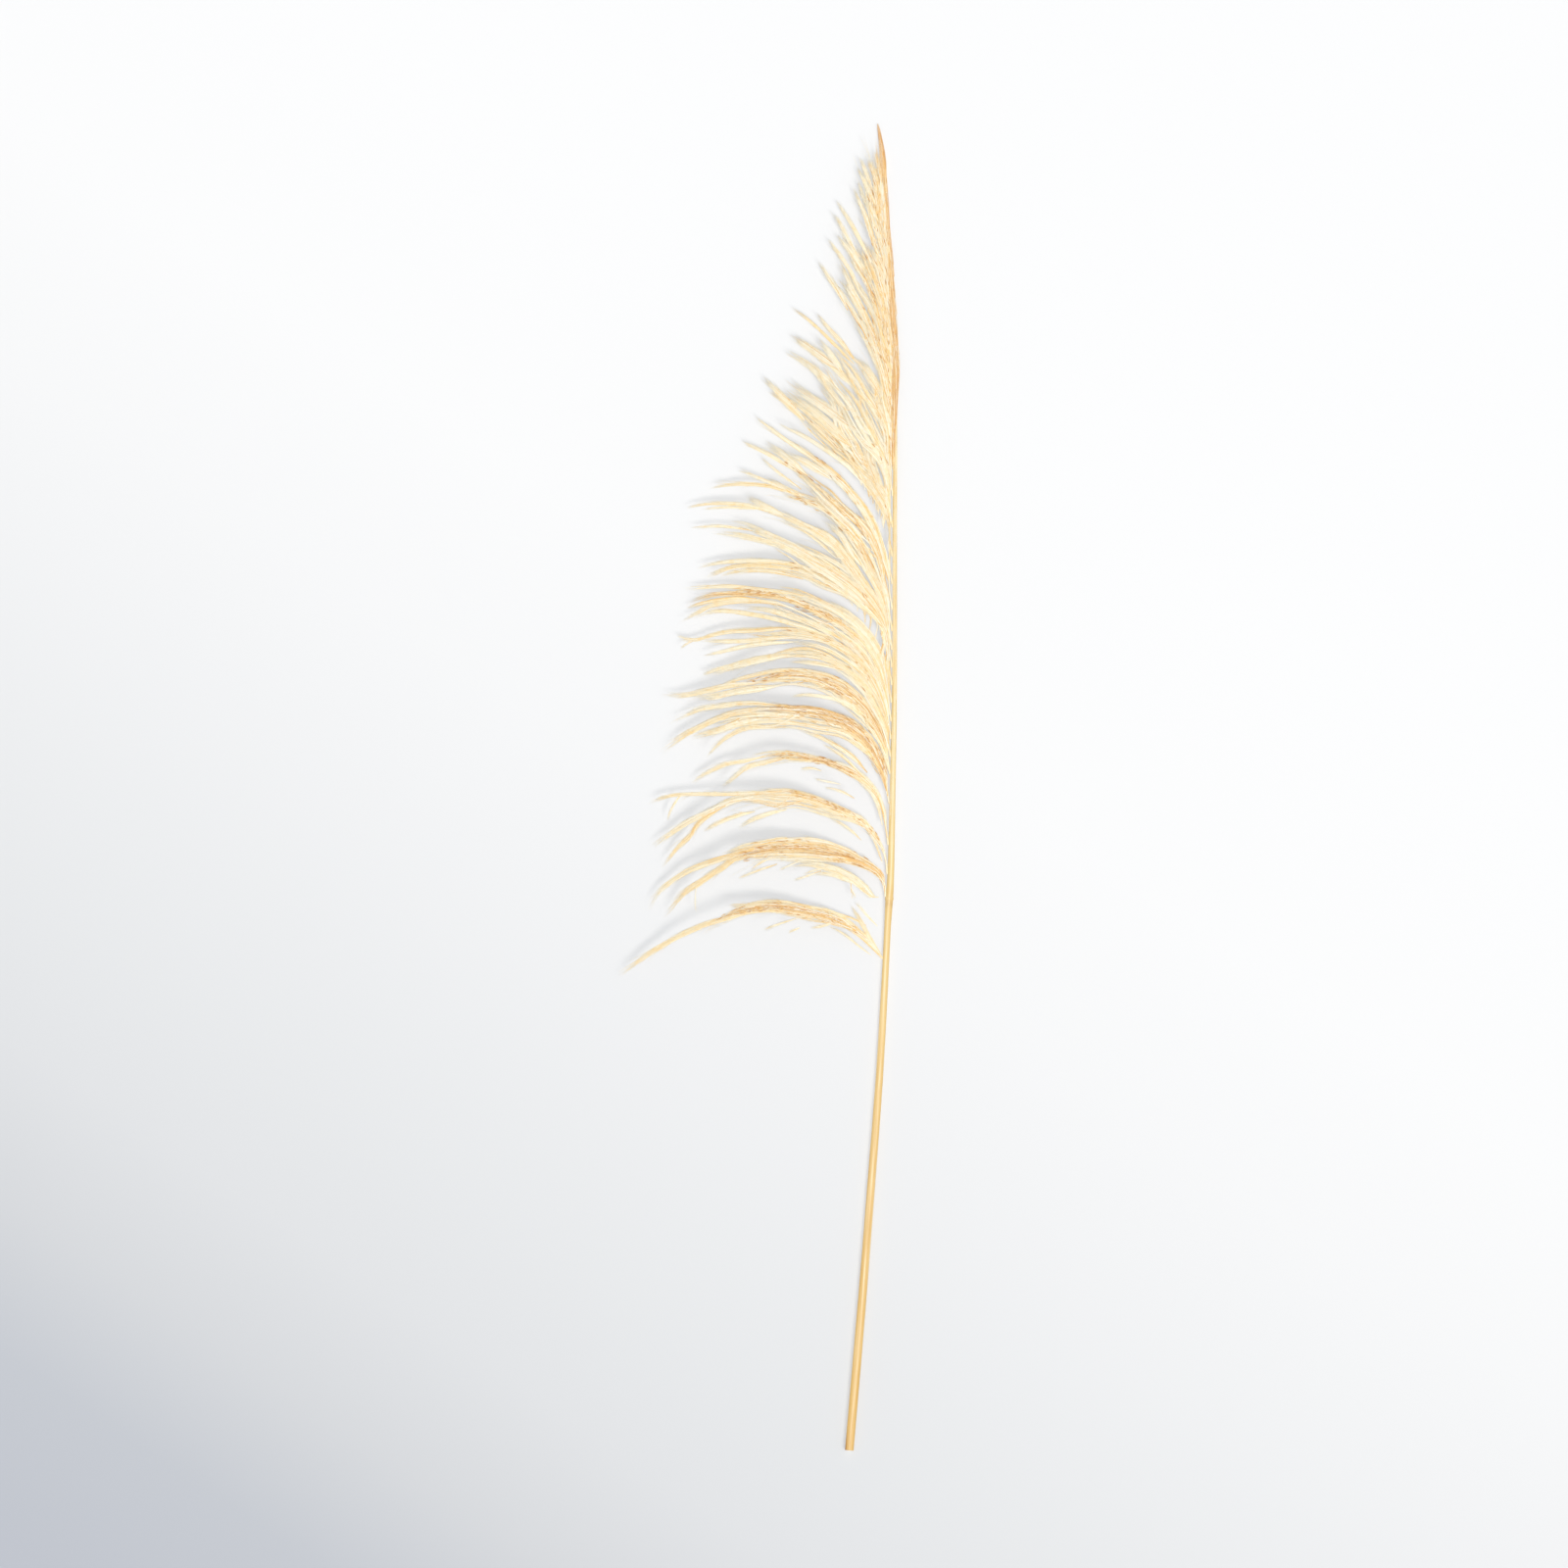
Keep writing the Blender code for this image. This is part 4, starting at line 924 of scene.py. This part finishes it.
def grow_strand(growth, draw, frond, width, tone, points):
    """A thin bundle of fibres along a listed route, in its spray's own arch and lean."""
    plan = smooth([(-left * MM, height * MM) for left, height in points], STRAND_STEPS)
    travelled = np.concatenate([[0.0], np.cumsum(np.linalg.norm(np.diff(plan, axis=0), axis=1))])
    length = travelled[-1]
    shares, asides = np.array([frond.reach(point) for point in plan]).T
    asides = asides - STRAND_SAG * width * MM
    half = width * MM / 2
    blunt = ease(width, *BLUNT_WIDTHS)

    def along_strand(along):
        return np.interp(along * length, travelled, shares), np.interp(along * length, travelled, asides)

    total = math.ceil(width / STREAK_SPACING)
    ends = draw.uniform(1 - RAGGED * (RAGGED_STREAKS + blunt), 1.0, total)[:, None]
    along = ends * np.linspace(0.0, 1.0, STRAND_STATIONS)
    share, aside = along_strand(along)
    out = half * draw.uniform(*STREAKS_ASIDE, total)[:, None] * np.interp(along, *STRAND_PROFILE)
    level = half * draw.uniform(*STREAKS_LEVEL, total)[:, None]
    add_streaks(growth, draw, frond, (share, aside + out, level), along / ends)

    total = max(LEAST_STRAND_FIBRES, round(STRAND_FIBRES * width * length / MM))
    span = np.minimum(LONGEST_SPAN, draw.uniform(*FIBRE_LENGTH, total) / length)
    step = np.linspace(0.0, 1.0, FIBRE_STATIONS)
    along = (draw.uniform(0.0, 1.0, total) * (1 - span))[:, None] + span[:, None] * step
    turn = draw.uniform(0.0, TURN, total)
    profile = np.interp(along, *STRAND_PROFILE)
    profile = profile + (1 - profile) * blunt * ease(along, BLUNT_FROM)
    along = along * draw.uniform(1 - RAGGED * blunt, 1.0, total)[:, None]
    share, aside = along_strand(along)
    out = half * np.sqrt(draw.uniform(0, 1, total))[:, None] * profile
    drift = draw.normal(0.0, 1.0, (2, total)) * STRAND_DRIFT
    drift = drift * np.where(draw.uniform(0, 1, total) < LOOSE_SHARE, LOOSE_DRIFT, 1.0)
    aside, level = strewn(aside, 0.0, turn, out, drift, step)
    thick = FIBRE_RADIUS * draw.uniform(*THICKNESS, total)[:, None]
    tones = np.clip(tone + draw.normal(0.0, STRAND_TONE_VARIES, total), 0, 1)
    growth.hairs(frond, (share, aside, level), tapered(thick, step, FIBRE_TAPER), tones, step)


def build_spray(number, spray, material):
    draw = np.random.default_rng(SEED + number)
    frond = Frond(spray)
    growth = Growth()
    grow_branch(growth, draw, frond)
    grow_locks(growth, draw, Locks(draw, frond))
    grow_spikelets(growth, draw, frond)
    grow_strays(growth, draw, frond)
    for carrier, width, tone, *points in STRANDS:
        if carrier == number:
            grow_strand(growth, draw, frond, width, tone, points)
    node = f"spray_{number:02d}"
    piece = growth.mesh(f"{node}_fibres", material, "cream_fibre")
    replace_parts(piece, node)


def pressed_fibres(growth, draw, kind, tone, across, over):
    """Fibres that run up the rachis, across(height) left of its line and over(height) above the table."""
    tones = np.clip(tone + draw.normal(0.0, kind.varies, kind.total), *kind.tones)
    start, length = (draw.uniform(*span, kind.total)[:, None] * MM for span in (kind.heights, kind.lengths))
    step = np.linspace(0.0, 1.0, FIBRE_STATIONS + 1)
    height = start + np.minimum(length, STEM_LINE[-1, 0] - start) * step
    radii = np.broadcast_to(tapered(kind.radius, step, FIBRE_TAPER), height.shape)
    centres = np.stack([-across(height), height, np.maximum(over(height), radii)], axis=-1)
    growth.add(centres, radii, tones, np.broadcast_to(step, height.shape))


def build_rachis_fibres(material):
    """The golden bundle on the upper rachis, the fibres pressed to the rachis, and the spike at its tip."""
    draw = np.random.default_rng(SEED)
    growth = Growth()
    bundle = np.array(BUNDLE, float).T * MM

    total = BUNDLE_FIBRES.total
    spans = (BUNDLE_SPOT, BUNDLE_RISE, BUNDLE_SPLAY)
    spot, rise, splay = (draw.uniform(*span, total)[:, None] for span in spans)
    dome = np.sqrt(np.maximum(0.0, 1 - (2 * spot - 1) ** 2))

    def in_bundle(height):
        right, width = (np.interp(height, bundle[0], values) for values in bundle[1:])
        return right + width * (spot + splay * (height - height[:, :1]) / SPLAY_LENGTH)

    def on_bundle(height):
        return lift(height) + stem_at(height)[1] * (1 + BUNDLE_DOME * dome * rise) + BUNDLE_LEVEL

    tone = np.where(draw.uniform(0.0, 1.0, total) < BUNDLE_PALE, *BUNDLE_TONES)
    pressed_fibres(growth, draw, BUNDLE_FIBRES, tone, in_bundle, on_bundle)

    side = draw.uniform(*STEM_SIDE, STEM_FIBRES.total)[:, None]
    wrap = 1 + np.sqrt(np.maximum(0.0, STEM_WRAP - side**2))

    def beside_stem(height):
        left, half_width = stem_at(height)
        return left + half_width * side

    def round_stem(height):
        return lift(height) + stem_at(height)[1] * wrap + STEM_LEVEL

    pressed_fibres(growth, draw, STEM_FIBRES, STEM_TONE, beside_stem, round_stem)

    total = SPIKE_FIBRES.total
    around = draw.uniform(0.0, TURN, total)[:, None]
    out = np.sqrt(draw.uniform(0.0, 1.0, total))[:, None]
    spike = np.array(SPIKE_GIRTH).T * MM

    def in_spike(height):
        return stem_at(height)[0] + SPIKE_ASIDE + np.interp(height, *spike) * out * np.cos(around)

    def on_spike(height):
        return lift(height) + SPIKE_LEVEL + np.interp(height, *spike) * out * np.sin(around)

    pressed_fibres(growth, draw, SPIKE_FIBRES, SPIKE_TONE, in_spike, on_spike)
    growth.mesh("rachis_fibres", material, "cream_fibre")


def build_stem(material):
    """The cane and rachis: fine ribs, a ridge round its one joint, and a square cut with a worn edge."""
    draw = np.random.default_rng(SEED)
    rim_heights, rim_shares = np.array(CUT_RIM).T
    even = np.arange(STATION_STEP, STEM_LINE[-1, 0], STATION_STEP)
    above = np.concatenate([even, NODE_AT + np.arange(*NODE_REACH, NODE_STEP) * MM])
    above = np.unique(np.round(above, STATION_DECIMALS))
    height = np.concatenate([rim_heights * MM, above])
    left, half_width = stem_at(height)
    flat_below = half_width * math.cos(math.pi / CAD_SIDES)
    rim = len(CUT_RIM)
    ridge = RIDGE * np.exp(-(((above - NODE_AT) / RIDGE_WIDTH) ** 2))
    skin = (half_width[rim:] + ridge) * (1 + draw.normal(0.0, UNEVEN, len(above)))
    skin = np.concatenate([half_width[:rim] * rim_shares, skin])
    centres = np.stack([-left, height, flat_below + lift(height)], axis=-1)[None]
    along = along_stem(height / MM)
    along[:CUT_FACE_STATIONS] = CUT_FACE_V
    ribs = 1 + draw.normal(0.0, RIBS, STEM_SIDES)
    turns = np.arange(STEM_SIDES)[None] / STEM_SIDES
    growth = Growth()
    growth.add(centres, skin[None], turns, along[None], STEM_SIDES, ribs)
    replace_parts(growth.mesh("cane", material, "straw", own_normals=False), "stem")


def along_stem(height):
    """The map's second axis at a height in millimetres above the cut end."""
    return STEM_FOOT_V + STEM_SPAN_V * height / STEM_TOP


class Tree:
    """The node tree of a material or world. Inputs are plain values or other nodes' outputs."""

    def __init__(self, owner):
        owner.use_nodes = True
        self.owner = owner
        self.nodes = owner.node_tree.nodes
        self.links = owner.node_tree.links

    def feed(self, node, inputs):
        for name, value in inputs.items():
            if isinstance(value, bpy.types.NodeSocket):
                self.links.new(value, node.inputs[name])
            else:
                node.inputs[name].default_value = value

    def add(self, kind, output, inputs, **settings):
        node = self.nodes.new(f"ShaderNode{kind}")
        for name, value in settings.items():
            setattr(node, name, value)
        self.feed(node, inputs)
        return node.outputs[output]

    def own_map(self):
        """The pieces' own map, and its two axes."""
        place = self.add("UVMap", "UV", {}, uv_map=UV_MAP)
        parts = self.add("SeparateXYZ", "X", {"Vector": place}).node
        return place, parts.outputs["X"], parts.outputs["Y"]

    def ramp(self, value, stops):
        output = self.add("ValToRGB", "Color", {"Fac": value})
        elements = output.node.color_ramp.elements
        while len(elements) < len(stops):
            elements.new(0.5)
        for element, (position, colour) in zip(elements, stops):
            element.position = position
            element.color = (*colour, 1.0)
        return output

    def spread(self, value, low, high, to_low=0.0, to_high=1.0):
        limits = {"From Min": low, "From Max": high, "To Min": to_low, "To Max": to_high}
        return self.add("MapRange", "Result", {"Value": value, **limits})

    def noise(self, place, scale, detail):
        return self.add("TexNoise", "Fac", {"Vector": place, "Scale": scale, "Detail": detail})

    def streaks(self, place, across, lengthwise, detail):
        """Noise drawn out along the cane."""
        inputs = {0: place, 1: (across, lengthwise, 1.0)}
        return self.noise(self.add("VectorMath", "Vector", inputs, operation="MULTIPLY"), 1.0, detail)

    def mixed(self, share, first, second, blend="MIX"):
        inputs = {"Factor": share, "A": first, "B": second}
        return self.add("Mix", "Result", inputs, data_type="RGBA", blend_type=blend)

    def shaded(self, **inputs):
        """The material, with these inputs of its shader. Underscores stand for the spaces in their names."""
        shader = self.nodes["Principled BSDF"]
        self.feed(shader, {name.replace("_", " "): value for name, value in inputs.items()})
        return self.owner


def fibre_material():
    """Tone along the map's first axis, root to tip along its second, and small golden patches."""
    tree = Tree(bpy.data.materials.new("silky_fibre"))
    _, tone, along = tree.own_map()
    colour = tree.mixed(tree.spread(along, *TIP_FADE), tree.ramp(tone, FIBRE_COLOURS), TIP_COLOUR)
    noise = tree.noise(tree.add("TexCoord", "Object", {}), *PATCH_NOISE)
    colour = tree.mixed(tree.spread(noise, *PATCH_SPREAD), colour, PATCH_COLOUR, "MULTIPLY")
    return tree.shaded(Base_Color=colour, Roughness=0.6, Specular_IOR_Level=0.15)


def straw_material():
    """A bleached cane: colours by height, fine lengthwise streaks, a stain and a paler pith at the cut."""
    tree = Tree(bpy.data.materials.new("straw_cane"))
    place, turn, along = tree.own_map()
    colour = tree.ramp(along, [(along_stem(height), colour) for height, colour in STRAW_COLOURS])
    fine = tree.streaks(place, *FINE_STREAKS)
    broad = tree.streaks(place, *BROAD_STREAKS)
    colour = tree.mixed(tree.spread(fine, *STREAK_NOISE), colour, STREAK_COLOUR, "MULTIPLY")
    colour = tree.mixed(tree.spread(broad, *BLEACHED_NOISE), colour, BLEACHED_COLOUR)
    low = tree.spread(along, *(along_stem(height) for height in STAIN_HEIGHTS))
    stain = tree.add("Math", "Value", {0: low, 1: tree.spread(turn, *STAIN_SIDE)}, operation="MULTIPLY")
    colour = tree.mixed(stain, colour, STAIN_COLOUR)
    colour = tree.mixed(tree.spread(along, *CUT_EDGE_V), colour, PITH_COLOUR)
    bump = tree.add("Bump", "Normal", {"Strength": 0.35, "Distance": 0.2 * MM, "Height": fine})
    roughness = tree.spread(fine, *STRAW_ROUGHNESS)
    return tree.shaded(Base_Color=colour, Roughness=roughness, Specular_IOR_Level=0.4, Normal=bump)


def build_floor():
    bpy.ops.mesh.primitive_plane_add(size=FLOOR_SIZE, location=(0.0, 0.0, 0.0))
    floor = bpy.context.object
    floor.name = "floor"
    tree = Tree(bpy.data.materials.new("pale_floor_painted_shade"))
    right, down = FLOOR_SHADE_FALL
    inputs = {0: tree.add("TexCoord", "Object", {}), 1: (right / PIXEL, -down / PIXEL, 0.0)}
    fall = tree.add("VectorMath", "Value", inputs, operation="DOT_PRODUCT")
    at_origin = right * (RACHIS_LINE_PX - ORIGIN[0] / PIXEL) + down * (CUT_END_PX + ORIGIN[1] / PIXEL)
    share = tree.spread(fall, FLOOR_FIRST - at_origin, FLOOR_LAST - at_origin)
    # Painted shade: the floor's colour darkens and greys along the fall line, in place of the light's falloff
    stops = [
        ((at - FLOOR_FIRST) / (FLOOR_LAST - FLOOR_FIRST), tuple(FLOOR_ALBEDO * part for part in colour))
        for at, colour in FLOOR_PAINTED_SHADE_STOPS
    ]
    colour = tree.ramp(share, stops)
    floor.data.materials.append(tree.shaded(Base_Color=colour, Roughness=1.0, Specular_IOR_Level=0.0))


def light_scene():
    tree = Tree(bpy.data.worlds.new("studio"))
    bpy.context.scene.world = tree.owner
    direction = tree.add("TexCoord", "Generated", {})
    rise = tree.add("SeparateXYZ", "Z", {"Vector": direction})
    stops = [(rise_at, tuple(strength * part for part in SKY_COLOUR)) for rise_at, strength in SKY]
    tree.feed(tree.nodes["Background"], {"Color": tree.ramp(rise, stops)})
    for name, strength, colour, width, tilt in SUNS:
        lamp = bpy.data.lights.new(name, "SUN")
        lamp.energy = strength
        lamp.color = colour
        lamp.angle = math.radians(width)
        sun = linked(name, lamp)
        sun.rotation_euler = (math.radians(tilt), 0.0, SUN_BEARING)
    bpy.context.scene.cycles.max_bounces = BOUNCES
    bpy.context.scene.cycles.diffuse_bounces = DIFFUSE_BOUNCES


def place_camera():
    """Straight above, framed as the photograph is."""
    data = bpy.data.cameras.new("camera")
    data.type = "ORTHO"
    data.ortho_scale = IMAGE_SIDE * PIXEL
    data.clip_end = CLIP_END
    camera = linked("camera", data)
    middle = IMAGE_SIDE / 2
    camera.location = (
        ORIGIN[0] + (middle - RACHIS_LINE_PX) * PIXEL,
        ORIGIN[1] + (CUT_END_PX - middle) * PIXEL,
        CAMERA_HEIGHT,
    )
    bpy.context.scene.camera = camera


bpy.context.scene.view_settings.view_transform = "Standard"
fibre = fibre_material()
for number, row in enumerate(SPRAYS, 1):
    build_spray(number, Spray(*row), fibre)
build_rachis_fibres(fibre)
build_stem(straw_material())
build_floor()
light_scene()
place_camera()
